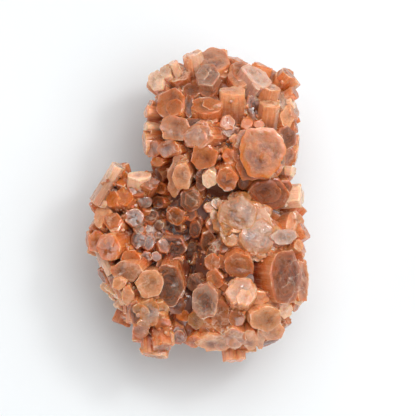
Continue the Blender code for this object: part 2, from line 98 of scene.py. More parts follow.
# Outline of the whole cluster as seen from above, clockwise from the crown
OUTLINE = [
    (4.7, 35.2), (9.9, 32.5), (17.0, 30.4), (21.6, 29.0), (21.8, 25.2), (21.8, 21.4), (22.3, 15.6),
    (22.4, 6.0), (23.8, 1.0), (22.9, -2.7), (24.6, -5.0), (23.2, -9.0), (25.1, -15.4), (24.6, -19.0),
    (22.6, -23.0), (18.8, -27.0), (15.8, -31.2), (11.0, -33.4), (8.6, -35.2), (1.1, -33.2),
    (-3.2, -31.4), (-7.6, -33.6), (-10.8, -34.2), (-12.2, -31.4), (-16.4, -26.4), (-16.4, -22.6),
    (-21.4, -12.6), (-25.1, -8.2), (-23.6, -3.4), (-22.9, 1.8), (-17.8, 9.0), (-15.4, 7.2),
    (-10.8, 8.2), (-11.6, 11.8), (-12.2, 16.8), (-12.0, 22.2), (-9.8, 24.0), (-11.2, 28.6),
    (-7.4, 31.4), (-3.2, 32.0), (-1.0, 34.0),
]

# Prisms whose caps face the front: x, y, seen width, seen height, rise over the ball, tone of the
# crystal, and for some the slope of their lean to the right and up
UPPER_CAPS = [
    (3.4, 32.4, 6.3, 5.0, 0.6, "m"), (2.0, 28.7, 4.5, 4.7, 1.6, "g"), (-5.0, 29.8, 5.4, 3.8, 0.6, "m"),
    (-9.4, 27.8, 3.4, 4.2, 0.0, "c"), (-7.4, 29.8, 2.4, 2.4, 0.8, "c"), (-8.1, 25.8, 1.8, 3.2, 0.6, "d"),
    (-6.1, 22.4, 5.9, 5.9, 0.4, "b"), (-2.0, 21.9, 2.0, 4.5, -1.0, "d"),
    (-1.4, 25.5, 3.8, 2.9, -1.6, "d"), (2.3, 25.5, 3.8, 2.9, -1.6, "d"),
    (2.0, 21.9, 6.3, 3.4, 0.2, "b", -0.1, 0.7), (12.4, 21.9, 2.9, 6.1, -2.4, "d"),
    (19.2, 23.1, 2.0, 4.1, 0.2, "g"), (9.2, 29.1, 4.1, 5.4, -0.4, "m"), (16.6, 28.4, 4.0, 3.4, 0.2, "b"),
    (19.6, 28.6, 3.8, 3.6, 0.4, "b"), (10.8, 17.7, 2.4, 2.2, -0.4, "o", 0.0, 0.3),
    (13.5, 17.8, 2.1, 1.9, -0.2, "o", 0.1, 0.3), (6.5, 18.1, 3.0, 3.0, -1.2, "b"),
    (7.4, 16.1, 3.4, 2.4, -1.8, "d"), (-5.2, 17.0, 6.1, 5.0, 0.0, "m"), (-0.2, 17.9, 5.9, 2.4, -1.0, "d"),
    (-0.2, 15.0, 5.4, 4.6, 0.6, "m", -0.75, 0.0), (-6.8, 12.3, 4.1, 3.6, 0.4, "b", -0.8, -0.1),
    (1.4, 10.7, 5.2, 5.0, 1.0, "b"), (-9.9, 12.3, 2.7, 3.2, 0.6, "b"), (-9.2, 9.4, 2.7, 2.0, 0.4, "o"),
    (7.0, 10.7, 3.2, 3.2, -0.6, "o"), (8.2, 14.4, 2.2, 2.0, -1.0, "o"), (8.6, 8.4, 2.4, 2.6, -0.6, "o"),
    (-4.3, 9.8, 2.3, 2.2, -0.8, "m"), (20.0, 19.5, 2.7, 4.1, 0.2, "p"), (20.0, 14.8, 3.6, 4.8, 0.4, "d"),
    (20.2, 10.4, 3.2, 4.1, 0.6, "b"), (18.6, 9.8, 1.6, 4.1, 1.6, "g"), (18.0, 6.6, 3.2, 4.5, 0.8, "d"),
    (15.8, 2.1, 7.6, 6.1, 3.4, "k", 0.2, -0.45), (-5.4, 5.1, 2.8, 6.6, 0.6, "p", -0.5, -0.5),
    (-3.6, 6.0, 3.6, 5.4, 1.8, "p", -0.3, -0.6), (-1.8, 1.0, 3.8, 5.0, 2.2, "m", -0.4, -0.5),
    (0.6, 5.3, 2.2, 4.1, -1.0, "d"), (2.6, 5.7, 2.9, 3.6, 1.8, "c"),
    (6.5, 5.5, 4.4, 4.6, 2.2, "b", 0.0, -0.4), (10.2, 4.6, 2.4, 2.4, -2.6, "d"),
]
MIDDLE_CAPS = [
    (4.3, 0.3, 2.3, 2.3, 1.6, "c"), (2.5, -0.6, 2.0, 2.2, 0.8, "p"), (3.6, -2.4, 1.6, 2.3, 1.0, "c"),
    (3.4, -4.6, 2.8, 3.2, 0.8, "m"), (2.2, -8.6, 2.8, 5.0, 1.0, "b"), (-5.0, -2.6, 3.6, 3.4, 1.6, "o"),
    (-1.4, -10.4, 1.8, 3.4, -1.6, "g"), (-0.6, -5.6, 2.4, 3.6, -1.4, "d"),
    (-1.6, -2.4, 2.4, 2.6, -0.6, "m"), (-8.6, 3.8, 2.6, 2.2, 1.2, "o"), (-9.0, 0.6, 2.6, 2.6, -0.8, "d"),
    (0.4, -12.6, 2.2, 2.2, 0.8, "b"), (-1.8, -14.5, 2.7, 2.5, 1.4, "d"), (-8.8, -4.6, 2.0, 1.9, 1.0, "g"),
]
RIGHT_CAPS = [
    (9.2, -2.0, 7.6, 6.6, 2.4, "s", 0.0, 0.12), (13.2, -7.2, 7.2, 7.0, 0.1, "s", 0.15, 0.05),
    (13.2, -11.2, 7.2, 2.8, -1.2, "s", 0.1, -0.1), (7.2, -7.8, 3.2, 2.6, -0.6, "s"),
    # The cap at 19.4, -7.1 takes the whitish tone as a painted sheen of the lamps
    (6.4, -5.2, 2.6, 3.0, 0.8, "s", -0.3, 0.2), (19.4, -7.1, 5.0, 3.2, 2.0, "w", 0.9, 0.3),
    (17.4, -6.4, 2.6, 3.4, 1.0, "p"), (21.8, -4.6, 3.6, 5.2, 2.2, "p", 1.0, 0.2),
    (22.6, -9.1, 2.0, 2.4, 2.2, "p"), (19.6, -16.3, 6.1, 11.2, 1.2, "k", 1.0, -0.1),
    (23.4, -17.2, 2.7, 8.0, 3.0, "m", 1.15, 0.0), (22.8, -21.0, 2.2, 3.0, 3.0, "c"),
    (13.7, -15.2, 2.8, 4.1, -5.0, "g"), (9.2, -13.6, 5.4, 5.0, -0.4, "b", 0.0, -0.5),
    (4.7, -8.9, 3.0, 2.4, -3.0, "g"), (3.2, -12.8, 3.2, 3.4, -1.6, "b"),
    (3.6, -16.8, 3.4, 4.2, -1.0, "b"), (-1.1, -17.4, 2.9, 3.4, -1.6, "g"),
    (1.6, -21.5, 5.0, 6.8, 2.0, "g", -0.3, -0.2), (-0.5, -25.8, 3.2, 3.6, 2.4, "s"),
    (9.7, -19.2, 5.9, 5.4, 1.2, "p", 0.0, 0.35), (17.1, -21.5, 2.6, 3.4, 0.4, "m"),
    (15.1, -25.5, 6.1, 5.0, 1.6, "p", 0.5, -0.6), (13.5, -20.8, 4.1, 3.0, -0.6, "p"),
    (8.3, -30.0, 4.3, 4.1, 1.4, "m", 0.0, -0.9), (3.8, -31.0, 7.6, 3.6, 2.2, "p", -0.1, -1.1),
    (11.7, -30.3, 3.2, 4.1, 0.8, "p"), (14.0, -30.0, 2.0, 4.1, 1.4, "p"),
    (16.6, -28.4, 4.8, 4.0, 2.2, "p"), (19.6, -23.7, 2.7, 3.2, 1.4, "c"),
    (1.8, -27.8, 3.0, 3.8, 0.8, "o"), (5.0, -24.9, 3.6, 6.6, -0.6, "b"),
    (8.6, -25.4, 3.4, 3.6, -0.4, "b"), (-1.1, -30.8, 3.2, 2.4, 2.4, "o"),
    (-2.6, -28.2, 2.6, 3.0, 0.6, "b"),
]
LEFT_CAPS = [
    (-4.5, -29.4, 3.4, 3.8, 2.0, "d", 0.2, -0.9), (-7.7, -30.4, 4.5, 4.1, 1.2, "p", 0.0, -1.0),
    (-12.8, -28.2, 3.4, 3.2, 0.6, "b"), (-14.0, -24.2, 2.4, 4.6, 1.0, "d"),
    (-10.8, -24.2, 4.1, 5.4, 1.4, "s"), (-8.1, -23.5, 3.2, 3.2, 1.0, "s"),
    (-7.9, -26.7, 3.6, 2.7, 0.4, "o"), (-15.6, -20.4, 2.6, 3.8, 0.6, "p"),
    (-10.8, -17.7, 5.2, 5.6, 1.8, "p", -0.1, -0.2), (-6.5, -17.9, 5.9, 8.1, 1.6, "m", -0.15, -0.45),
    (-16.0, -15.0, 6.3, 4.1, 0.6, "m", -0.5, -0.5), (-14.9, -12.2, 4.1, 3.6, 0.4, "o"),
    (-20.0, -9.6, 4.5, 5.4, 2.2, "o", -0.8, -0.2), (-23.0, -8.2, 3.2, 4.4, 2.0, "o"),
    (-18.9, -3.9, 3.8, 3.6, 0.8, "b"), (-14.0, -3.0, 3.8, 3.6, -1.4, "m", 0.2, 0.1),
    (-13.1, -5.4, 2.6, 2.0, -2.0, "m"), (-11.9, 0.6, 3.0, 2.8, -3.0, "g", 0.2, -0.1),
    (-13.3, -7.8, 3.0, 3.4, -1.6, "d"), (-11.0, -8.4, 2.6, 3.4, -2.2, "d"),
    (-10.4, -2.6, 3.2, 2.5, -4.4, "d"), (-11.5, -11.6, 2.2, 2.2, -1.6, "b"),
    (-9.2, -11.6, 2.2, 2.0, -2.0, "b"), (-17.1, 6.0, 3.0, 3.2, 4.6, "o", -0.3, 0.9),
    (-12.9, 6.6, 4.6, 1.8, 5.4, "c", 0.1, 1.1), (-10.4, 4.8, 3.2, 2.4, 3.0, "o", 0.2, 0.5),
    (-13.6, 3.6, 3.6, 3.4, 1.0, "o", 0.0, 0.4), (-16.6, 1.8, 3.4, 3.6, 1.4, "o", -0.3, 0.4),
    (-19.2, 1.2, 2.6, 3.4, 3.0, "o", -0.8, 0.4), (-21.6, 0.3, 2.0, 1.8, 5.0, "c", -1.0, 0.4),
    (-22.2, -2.8, 2.0, 3.8, 3.4, "p"), (-20.9, -1.4, 2.2, 2.2, 1.8, "p"),
    (-7.6, -13.4, 3.0, 2.2, -1.0, "o", 0.2, 0.5), (-13.2, -20.4, 2.4, 2.6, -0.8, "b"),
    (-4.6, -22.6, 3.4, 3.6, 0.2, "d"), (-3.4, -25.6, 3.2, 3.6, 0.0, "d"),
    (-4.4, -13.0, 2.2, 2.4, 0.6, "o"), (-17.6, -17.6, 2.8, 2.6, 1.4, "p"),
    (-4.7, -5.7, 5.9, 4.6, -3.2, "v", 0.1, -0.2), (-6.1, -10.0, 6.3, 5.0, -2.8, "v", -0.1, -0.2),
]

# Prisms seen from their sides: end x, y, z, heading, climb, width, depth, length and tone
SIDE_ON = [
    (-1.8, 33.4, 25.0, 100, 18, 3.4, 4.4, 12.0, "p"), (7.7, 25.2, 35.0, 88, 26, 6.3, 4.2, 9.0, "p"),
    (16.2, 26.2, 31.0, 74, 22, 4.6, 4.0, 9.0, "p"), (16.0, 22.4, 33.4, 82, 24, 4.6, 3.6, 8.0, "p"),
    (14.4, 31.0, 25.0, 72, 10, 4.6, 4.0, 12.0, "o"), (20.4, 29.4, 24.0, 48, 12, 3.8, 4.6, 13.0, "b"),
    (-5.6, 31.8, 25.4, 112, 22, 2.2, 2.6, 9.0, "c"), (23.2, 2.0, 25.6, 4, 14, 5.4, 4.6, 12.0, "c"),
    (8.3, -35.1, 20.0, -84, 10, 5.2, 4.6, 14.0, "p"), (-9.4, -34.2, 21.0, -100, 14, 5.8, 3.8, 12.0, "p"),
    (-17.6, 8.8, 24.6, 58, 10, 3.2, 5.4, 10.0, "c"), (-17.9, 8.0, 22.0, 110, 20, 3.4, 4.0, 10.0, "o"),
    (-11.6, 20.8, 26.0, 172, 16, 2.8, 3.4, 9.0, "p"), (-11.8, 17.4, 26.6, 178, 20, 2.0, 2.8, 9.0, "c"),
    (-12.0, 13.8, 25.4, 184, 14, 5.2, 3.8, 10.0, "p"), (-24.8, -8.0, 20.6, 184, 14, 4.2, 3.8, 12.0, "o"),
    (24.4, -17.0, 22.0, 2, 12, 7.6, 3.4, 12.0, "p"), (21.4, 7.4, 27.6, -6, 24, 2.4, 2.8, 8.0, "c"),
    (21.4, 22.8, 25.6, 20, 16, 2.8, 3.0, 8.0, "c"), (21.2, 25.4, 24.6, 30, 16, 2.2, 2.8, 8.0, "p"),
    (-15.2, -22.0, 20.8, -63.5, 3, 4.2, 7.0, 13.0, "c"),
    (-19.0, -15.6, 23.6, -63.5, 4, 3.2, 4.0, 6.5, "c"), (-14.6, -26.6, 20.6, -88, 4, 3.6, 6.0, 7.0, "p"),
    (-16.4, -20.8, 23.0, -62, 4, 3.0, 4.0, 5.0, "p"),
]

# Big crystals with outlines of their own: centre, lean, tone and corners round the cap
BIG_CRYSTALS = [
    ((14.0, 11.5, 37.9), (0.05, -0.05), "h", [
        (-3.6, 5.0), (2.7, 5.4), (4.7, 2.6), (5.6, 0.2), (4.1, -2.8), (2.3, -5.4), (-2.5, -5.6), (-4.6, -1.6),
        (-4.8, 0.8),
    ]),
    ((13.2, 11.2, 35.8), (0.05, -0.05), "b", [
        (-3.8, 5.2), (2.8, 5.4), (5.2, 2.4), (5.8, -0.2), (4.2, -3.2), (2.4, -5.4), (-3.2, -5.8),
        (-5.2, -2.2), (-5.4, 2.0),
    ]),
    ((10.6, -4.8, 31.4), (0.05, 0.1), "s", [
        (-6.3, 1.8), (-5.2, 5.6), (-1.1, 6.9), (3.8, 4.4), (5.6, 1.8), (5.8, -3.8), (3.8, -7.2), (1.1, -6.5),
        (-1.1, -4.5), (-3.8, -2.7), (-5.2, -0.5),
    ]),
    # The tilted slab's whitish tone is a painted sheen of the lamps
    ((13.1, 28.6, 31.6), (0.55, 0.75), "w", [
        (-3.5, 1.8), (-1.5, 2.8), (1.4, 1.2), (3.7, -1.5), (1.5, -3.0), (-1.2, -1.0),
    ]),
]
BIG_ROOT = 16.0
BIG_WIDTH = 8.0

# Prisms placed by rule: on the rim, under the caps and all over the back
RIM_SPACING = 5.4
RIM_WIDTH = (3.2, 5.4)
RIM_CLIMB = (-14.0, 22.0)
RIM_REACH = (0.93, 0.995)
RIM_DEPTH = (0.8, 1.2)
RIM_ROOT = 0.8
BACK_COUNT = {"upper": 20, "right": 17, "left": 16, "middle": 4, "seam": 3}
BACK_WIDTH = (4.8, 8.2)
BACK_SWAY = 0.06
BACK_MARGIN = 0.4
BACK_REACH = (0.94, 1.0)
BACK_DEPTH = (0.75, 1.1)
BACK_ROOT = 0.85
GAP_COUNT = {"upper": 6, "right": 7, "left": 6, "middle": 4, "seam": 2}
GAP_WIDTH = (3.0, 4.4)
GAP_SWAY = 1.2
GAP_DEPTH = (0.8, 1.1)
GAP_ROOT = 0.6
GAP_TONES = "bdo"
GOLDEN_ANGLE = math.pi * (3.0 - math.sqrt(5.0))
RULE_TONES = "bmopbmdpobc"
NEARLY_ZERO = 1e-9
NEARLY_UPRIGHT = 0.05
LEVEL_GAP = 1e-5

# The pale strip along the lower left of the outline: its start, its direction, and how long and
# how wide it is
PALE_START = (-22.6, -10.0)
PALE_WAY = (0.447, -0.894)
PALE_SIZE = (15.0, 2.8)

# Finer prisms that fill the gaps, from the top of each ball to a little under its heart. How far out
# they end is a share of the envelope past the grown mass, and those lower down are stouter
FILL_COUNT = {"upper": 120, "right": 110, "left": 110, "middle": 50, "seam": 28}
FILL_FALL = 1.2
FILL_LOW = 0.3
FILL_WIDTH = (1.6, 3.4)
FILL_WIDTH_LOW = (3.0, 4.6)
FILL_REACH = (-0.02, 0.12)
FILL_REACH_LOW = (0.06, 0.21)
FILL_SWAY = 1.4
FILL_DEPTH = (0.7, 1.15)
FILL_LENGTH = 3.0
FILL_ROOT = 0.2
FILL_TONES = "bodvbodmdob"

# The width that fine prisms count as at most, so that they are modelled as slender ones
SLENDER = 1.8

# The sheltered valley as ellipses seen from above, each a middle and its reach, the darker tones of
# its fine prisms, and how much darker the crystals in it are: all painted shade of the recess
VALLEY = [((-5.0, -8.5), (8.4, 12.0)), ((-10.0, 1.6), (4.6, 3.6)), ((-13.0, -5.0), (4.4, 5.6))]
PAINTED_SHADE_TONES = "dvdvdb"
VALLEY_PAINTED_SHADE = 0.41
GREY_PAINTED_SHADE = 0.6

# Front caps grow past the solid's, so that neighbours meet
CAP_GROWTH = 1.16

# Slim prisms against the sides of prisms over a width: how many, how far along a side and out from
# the middle, how far they sink, and their size and length as shares of their host's
SATELLITE_HOST = 3.4
SATELLITE_NUMBER = (0, 1, 1, 2)
SATELLITE_ALONG = (0.15, 0.85)
SATELLITE_OUT = (0.82, 1.0)
SATELLITE_SINK = (0.4, 2.6)
SATELLITE_SCALE = (0.22, 0.42)
SATELLITE_ROOT = 0.7

# Growth terraces on some of the same caps, save those of the hexagon and the pale mass
TERRACE_NUMBER = (0, 0, 1)
TERRACE_SCALE = (0.5, 0.85)
TERRACE_OUT = 0.9
TERRACE_RISE = (0.08, 0.3)
TERRACE_LENGTH = 4.0
TERRACE_WIDTH = 4.0
TERRACE_NONE = "sh"

# Rubble breaks up the pale mass, on its prisms over a width
RUBBLE_HOST = 4.0
RUBBLE_COUNT = 16
RUBBLE_OUT = (0.86, 1.04)
RUBBLE_SINK = (0.0, 2.6)
RUBBLE_SWAY = 0.12
RUBBLE_WIDTH = (1.6, 4.0)
RUBBLE_DEPTH = (0.6, 1.0)
RUBBLE_LENGTH = 5.0
RUBBLE_TONES = "spsms"

# How rough caps of these tones are, beside 1 for the rest; the pale mass also swells more slowly
ROUGHER = {"s": 1.2, "h": 0.3, "g": 1.6, "w": 1.6, "k": 0.5}
SWELLS_PER_MM = 0.7
SWELLS_PER_MM_PALE = 0.42

# How finely a prism is modelled: for widths over a size in millimetres, the facets to a side, the
# heights of the rings round it and the insets of its cap
MAKES = {
    "broad": (4.2, 5, (0.1, 0.3, 0.6), (0.07, 0.17, 0.19, 0.19, 0.19)),
    "middling": (1.9, 4, (0.1, 0.3, 0.6), (0.1, 0.25, 0.3)),
    "slender": (0.0, 2, (0.3,), (0.22,)),
}

# A rounded outline grows to the same width as the sharp one. Then the depths under the cap, in
# millimetres, of the rings round a prism's side, and how a cap's level, edge and middle are told
ROUNDED_GROWTH = 1.03
RING_DEPTHS = (0.0, 0.45, 1.6, 4.2)
CAP_LEVEL = 1e-4
CAP_EDGE = 0.985
HUB_REACH = 1e-6
RING_REACH = 1e-3

# Unevenness of a prism's outline, and the notch that some have where twins meet
OUTLINE_SWAY = 0.08
OUTLINE_SWAYS_PER_MM = 1.1
NOTCHED = 0.45
NOTCH = 0.14
NOTCH_SIDE = 0.04
NARROWEST = 0.2

# Mean radius, in millimetres, from which grooves and the cap's relief have their full depth
GROOVES_FULL = 2.0
RELIEF_FULL = 2.2

# The cap's greatest chip in millimetres, and its step and swell as shares of its relief
CHIP = 0.35
STEP_AT = (0.2, 0.6)
STEP = 1.6
STEP_FADE = 8.0
SWELL = (-0.6, 1.0)
RIPPLE = 0.5
RIPPLES_PER_MM = 1.7

# How much the crystals vary in shade, in hue and in staining
SHADES = (0.88, 1.1)
HUES = (0.98, 1.02)
STAINS = (0.7, 1.0)

# The solid middles of the balls: how uneven they are, and how deep in the growth they count
CORE_SWELL = 0.035
CORE_SWELLS_PER_MM = 0.9
CORE_GRIT = 0.02
CORE_GRITS_PER_MM = 2.3
CORE_DEPTH = 6.0
SMOOTH_ANGLE = 30.0

# Tiny crystals: narrowest width and how much wider they get, height and sink as shares, and how far
# they point out of the ball and out of the face they sit on
DRUSE_TONES = "obdbmdbv"
DRUSE_WIDTH = (0.35, 0.8)
DRUSE_HEIGHT = (0.9, 1.8)
DRUSE_DEPTH = (0.7, 1.0)
DRUSE_SINK = (0.35, 0.7)
DRUSE_OUTWARD = 0.6
DRUSE_UPRIGHT = 0.5
DRUSE_SWAY = 0.25
DRUSE_HUES = (0.97, 1.03)
DRUSE_STAIN = 0.7
DRUSE_BEVEL = 0.09

# Where a tiny crystal's pattern starts, at random up to so many millimetres round, and how far its
# cap counts as lying inward
DRUSE_AROUND = 9.0
DRUSE_CAP = 0.05

# Druse keeps off the caps, and is thickest from about this deep down the sides, in millimetres
DRUSE_SHALLOWEST = 0.8
DRUSE_THICKEST = 6.0
DRUSE_LEAST = 0.1

# Where druse crusts the front: x, y and reach of each patch; elsewhere only one in ten stays
DRUSE_PATCHES = [
    (7.4, 11.6, 3.4), (-15.4, 3.6, 5.0), (-22.4, -6.8, 3.4), (-5.4, -3.2, 2.2), (-18.6, -1.0, 3.6),
    (7.2, -5.2, 2.6), (2.2, -10.4, 3.0), (10.0, 18.6, 3.0), (20.6, -24.4, 3.0), (21.0, 2.6, 3.0),
    (-8.4, -27.6, 3.2), (6.4, -24.4, 3.6), (17.8, -11.6, 2.6), (-2.0, 9.0, 3.0),
]
DRUSE_STRAY = 0.1
LOWEST_DRUSE = 2.0

# Colours of the crystals by tone, as sRGB hex: m rosy brown, p apricot, c cream, o orange,
# b red-brown, d dark brown, g grey, v brown of the valley, s sugary beige, h the hexagon's orange,
# k brown of the dark plates, w whitish, a painted sheen of the lamps on crystals leaning to them
TONES = {
    "m": "#C48A66", "p": "#E2A374", "c": "#F0C8A8", "o": "#D4782F", "b": "#BC7240",
    "d": "#8E583A", "g": "#AA8670", "v": "#885C4C", "s": "#BE824A", "h": "#DE8842",
    "k": "#9E5E3C", "w": "#D8B8A6",
}

# How far iron has stained the sides of crystals of the paler tones; the rest are stained in full
STAINED = {"c": 0.1, "p": 0.45, "s": 0.5, "g": 0.4, "w": 0.15}

# Patterns in the stone, as repeats to a metre of its own coordinates: clouds of 3 mm, specks of
# 0.4 mm, healed cracks in 9 mm patches, broken rims of painted highlight, glassy patches of 2 mm and
# sugary grains of 1 mm
CLOUDS = 340.0
SPECKS = 2400.0
CRACKS = 240.0
CRACK_PATCHES = 110.0
RIM_HIGHLIGHTS = 420.0
GLASSY_PATCHES = 520.0
SUGAR = 900.0

# Stretch of the grooves down the sides and of the growth bands across, as repeats to a millimetre
GROOVES_STRETCH = (2.6, 0.22, 1.0)
BANDS_STRETCH = (0.2, 2.0, 1.0)

# How far light wanders under the surface of the big and the tiny crystals, in metres
LIGHT_DEPTH = 0.0022
LIGHT_DEPTH_DRUSE = 0.0003

# Softboxes: name, the setting of their power and their share of it, size and place in metres
LIGHTS = [
    ("key", "key", 0.65, 0.36, (0.19, 0.15, 0.42)),
    ("spark", "key", 0.35, 0.07, (0.22, 0.17, 0.42)),
    ("bank_right", "bank", 1.0, 0.5, (0.30, 0.0, 0.60)),
    ("bank_top", "bank", 1.6, 0.5, (0.0, 0.30, 0.60)),
    ("fill_left", "fill", 1.0, 0.24, (-0.40, -0.06, 0.12)),
    ("fill_bottom", "fill", 1.0, 0.24, (0.04, -0.40, 0.12)),
]
MIDDLE = (0.0, 0.0, 0.019)
FLOOR_SIZE = 3.0
FLOOR_DROP = 0.0001

# The camera looks straight down from a little off the middle, in pixels of the photo's width
PHOTO_WIDTH = 416.0
OFF_MIDDLE = (10.0, -3.5)
SENSOR = 36.0


def linear(hex_colour):
    """An sRGB hex colour as linear red, green and blue."""
    parts = [int(hex_colour[k:k + 2], 16) / 255.0 for k in (1, 3, 5)]
    return tuple(c / 12.92 if c <= 0.04045 else ((c + 0.055) / 1.055) ** 2.4 for c in parts)


def length_setting(name, description, default, least=0.0):
    """A setting in metres."""
    return FloatProperty(
        name=name, description=description, default=default, min=least, subtype="DISTANCE", unit="LENGTH"
    )


def colour_setting(name, description, hex_colour):
    """A setting that holds a colour."""
    return FloatVectorProperty(
        name=name, description=description, default=linear(hex_colour), size=3, min=0.0, max=1.0,
        subtype="COLOR",
    )


def power_setting(name, description, default):
    """A setting that holds a lamp's power in watts."""
    return FloatProperty(name=name, description=description, default=default, min=0.0, unit="POWER")


class ARAGONITE_PG_sizes(bpy.types.PropertyGroup):
    """Sizes of the fine forms on the crystals."""

    edge_wear: length_setting("Edge wear", "How far cap edges are worn down", 0.00016)
    groove: length_setting("Groove depth", "Depth of the grooves along the sides", 0.00014)
    relief: length_setting("Cap relief", "Height of steps and swells on the caps", 0.00022)
    druse: IntProperty(name="Druse", description="Number of tiny crystals", default=1500, min=0)


class ARAGONITE_PG_colours(bpy.types.PropertyGroup):
    """Colours of the stone and its stage."""

    side: colour_setting("Sides", "Sides of the prisms near their caps", "#E09A62")
    stain: colour_setting("Stain", "Iron-stained orange part way down the sides", "#D06A26")
    # Deep down between the prisms this red-brown is partly painted shade, over the iron stain
    root: colour_setting("Roots", "Iron-stained roots between the prisms", "#7A2E0C")
    # This pale colour is a painted highlight on the cap rims, and also paints pale specks, streaks and crack
    # wisps
    rim: colour_setting("Rims", "Frosted rims of the caps", "#F6DEC6")
    # This grey-brown is painted shade, laid over the middle of the caps
    painted_shade_veil: colour_setting("Veil", "Grey-brown shade in the middle of the caps", "#9C8480")
    floor: colour_setting("Floor", "Plain pale floor", "#EDF1F3")


class ARAGONITE_PG_stage(bpy.types.PropertyGroup):
    """Camera and studio light."""

    distance: length_setting("Camera height", "Height of the camera over the floor", 0.92, 0.2)
    field: length_setting("Field", "Width that the camera sees at the cluster", 0.0936, 0.01)
    key: power_setting("Key light", "Power of the key light", 1.1)
    fill: power_setting("Fill light", "Power of each low fill", 0.46)
    bank: power_setting("Bank light", "Power of the big soft bank", 1.28)
    sky: FloatProperty(name="Sky", description="Strength of the even light all round", default=0.13, min=0.0)


def ball_height(lobe, x, y):
    """Height of a ball's envelope over a point, low but never gone past its rim."""
    hx, hy, hz = lobe["heart"]
    rx, ry, rz = lobe["reach"]
    inside = 1.0 - ((x - hx) / rx) ** 2 - ((y - hy) / ry) ** 2
    return hz + rz * math.sqrt(max(inside, ENVELOPE_FLOOR))


def lean_from_heart(lobe, tip):
    """Direction from deep in a ball to a cap, never flatter than the steepest lean."""
    hx, hy, hz = lobe["heart"]
    slope = Vector((tip[0] - hx, tip[1] - hy)) / (tip[2] - hz + LEAN_DEPTH)
    if slope.length > STEEPEST_LEAN:
        slope = slope * (STEEPEST_LEAN / slope.length)
    return Vector((slope.x, slope.y, 1.0)).normalized()


def rough_hexagon(rng, width, height):
    """Corners of an uneven hexagon that fills a width and a height."""
    turn = rng.uniform(0.0, math.tau)
    spread = 0.5 / math.cos(math.pi / SIDES) ** 0.5
    corners = []
    for k in range(SIDES):
        angle = turn + (k + rng.uniform(-CORNER_SWAY, CORNER_SWAY)) * math.tau / SIDES
        size = spread * rng.uniform(*CORNER_REACH)
        corners.append((width * size * math.cos(angle), height * size * math.sin(angle)))
    return corners


def crystal(cap, axis, length, tone, width, root_share=ROOT_SHARE):
    """One prism's measures: cap corners, axis, length, tone and width, in millimetres."""
    return {"cap": cap, "axis": axis, "length": length, "tone": tone, "width": width, "root": root_share}


def cast_on_cap(centre, axis, corners):
    """Corners seen from the front, laid on the cap's tilted plane."""
    cap = []
    for a, b in corners:
        drop = (a * axis.x + b * axis.y) / axis.z
        cap.append(centre + Vector((a, b, -drop)))
    return cap


def front_crystals(rng):
    """The prisms that the front shows by their caps."""
    tables = {"upper": UPPER_CAPS, "middle": MIDDLE_CAPS, "right": RIGHT_CAPS, "left": LEFT_CAPS}
    grown = []
    for side, rows in tables.items():
        lobe = LOBES[side]
        heart = Vector(lobe["heart"])
        for x, y, width, height, rise, tone, *lean in rows:
            tip = Vector((x, y, ball_height(lobe, x, y) + rise))
            axis = Vector((*lean, 1.0)).normalized() if lean else lean_from_heart(lobe, tip)
            cap = cast_on_cap(tip, axis, rough_hexagon(rng, width * CAP_GROWTH, height * CAP_GROWTH))
            grown.append(crystal(cap, axis, (tip - heart).length * FRONT_ROOT, tone, min(width, height)))
    return grown


def big_crystals():
    """The hexagon, the ledge under it, the pale plate and the tilted slab."""
    grown = []
    for centre, lean, tone, corners in BIG_CRYSTALS:
        axis = Vector((*lean, 1.0)).normalized()
        grown.append(crystal(cast_on_cap(Vector(centre), axis, corners), axis, BIG_ROOT, tone, BIG_WIDTH))
    return grown


def heading_axis(heading, climb):
    """Direction with a heading in the plane and a climb out of it, both in degrees."""
    flat = math.cos(math.radians(climb))
    turn = math.radians(heading)
    return Vector((flat * math.cos(turn), flat * math.sin(turn), math.sin(math.radians(climb))))


def upright_cap(rng, tip, axis, width, depth):
    """Cap corners square to an axis, width across it and depth along the height."""
    across = Vector((-axis.y, axis.x, 0.0)).normalized()
    upward = axis.cross(across)
    return [tip + across * a + upward * b for a, b in rough_hexagon(rng, width, depth)]


def side_on_crystals(rng):
    """The prisms that the front shows by their sides."""
    grown = []
    for x, y, z, heading, climb, width, depth, length, tone in SIDE_ON:
        axis = heading_axis(heading, climb)
        cap = upright_cap(rng, Vector((x, y, z)), axis, width, depth)
        grown.append(crystal(cap, axis, length, tone, width, 1.0))
    return grown


def outline_steps(spacing):
    """Points along the outline, a spacing apart."""
    points = []
    for k, (x, y) in enumerate(OUTLINE):
        start = Vector((x, y))
        run = Vector(OUTLINE[(k + 1) % len(OUTLINE)]) - start
        count = max(1, round(run.length / spacing))
        points.extend(start + run * (step / count) for step in range(count))
    return points


def nearest_lobe(point):
    """The outer ball whose envelope a point in the plane lies nearest to."""

    def distance(side):
        hx, hy, _ = LOBES[side]["heart"]
        rx, ry, _ = LOBES[side]["reach"]
        return ((point.x - hx) / rx) ** 2 + ((point.y - hy) / ry) ** 2

    return LOBES[min(("upper", "right", "left"), key=distance)]


def on_pale_strip(place):
    """Whether a place lies on the pale strip at the lower left, as seen from above."""
    away = Vector(place[:2]) - Vector(PALE_START)
    way = Vector(PALE_WAY)
    along, across = away.dot(way), away.dot(Vector((-way.y, way.x)))
    return 0.0 < along < PALE_SIZE[0] and across < PALE_SIZE[1]


def rim_crystals(rng):
    """A ring of prisms that ends on the outline, at about the height of the hearts."""
    grown = []
    for number, point in enumerate(outline_steps(RIM_SPACING)):
        lobe = nearest_lobe(point)
        hx, hy, hz = lobe["heart"]
        away = point - Vector((hx, hy))
        climb = rng.uniform(*RIM_CLIMB)
        width = rng.uniform(*RIM_WIDTH)
        axis = heading_axis(math.degrees(math.atan2(away.y, away.x)), climb)
        reach = away.length * rng.uniform(*RIM_REACH)
        tip = Vector((hx, hy, hz)) + axis * (reach / math.hypot(axis.x, axis.y))
        cap = upright_cap(rng, tip, axis, width, width * rng.uniform(*RIM_DEPTH))
        tone = RULE_TONES[number % len(RULE_TONES)]
        if on_pale_strip(tip):
            tone = "c"
        grown.append(crystal(cap, axis, reach * RIM_ROOT, tone, width))
    return grown


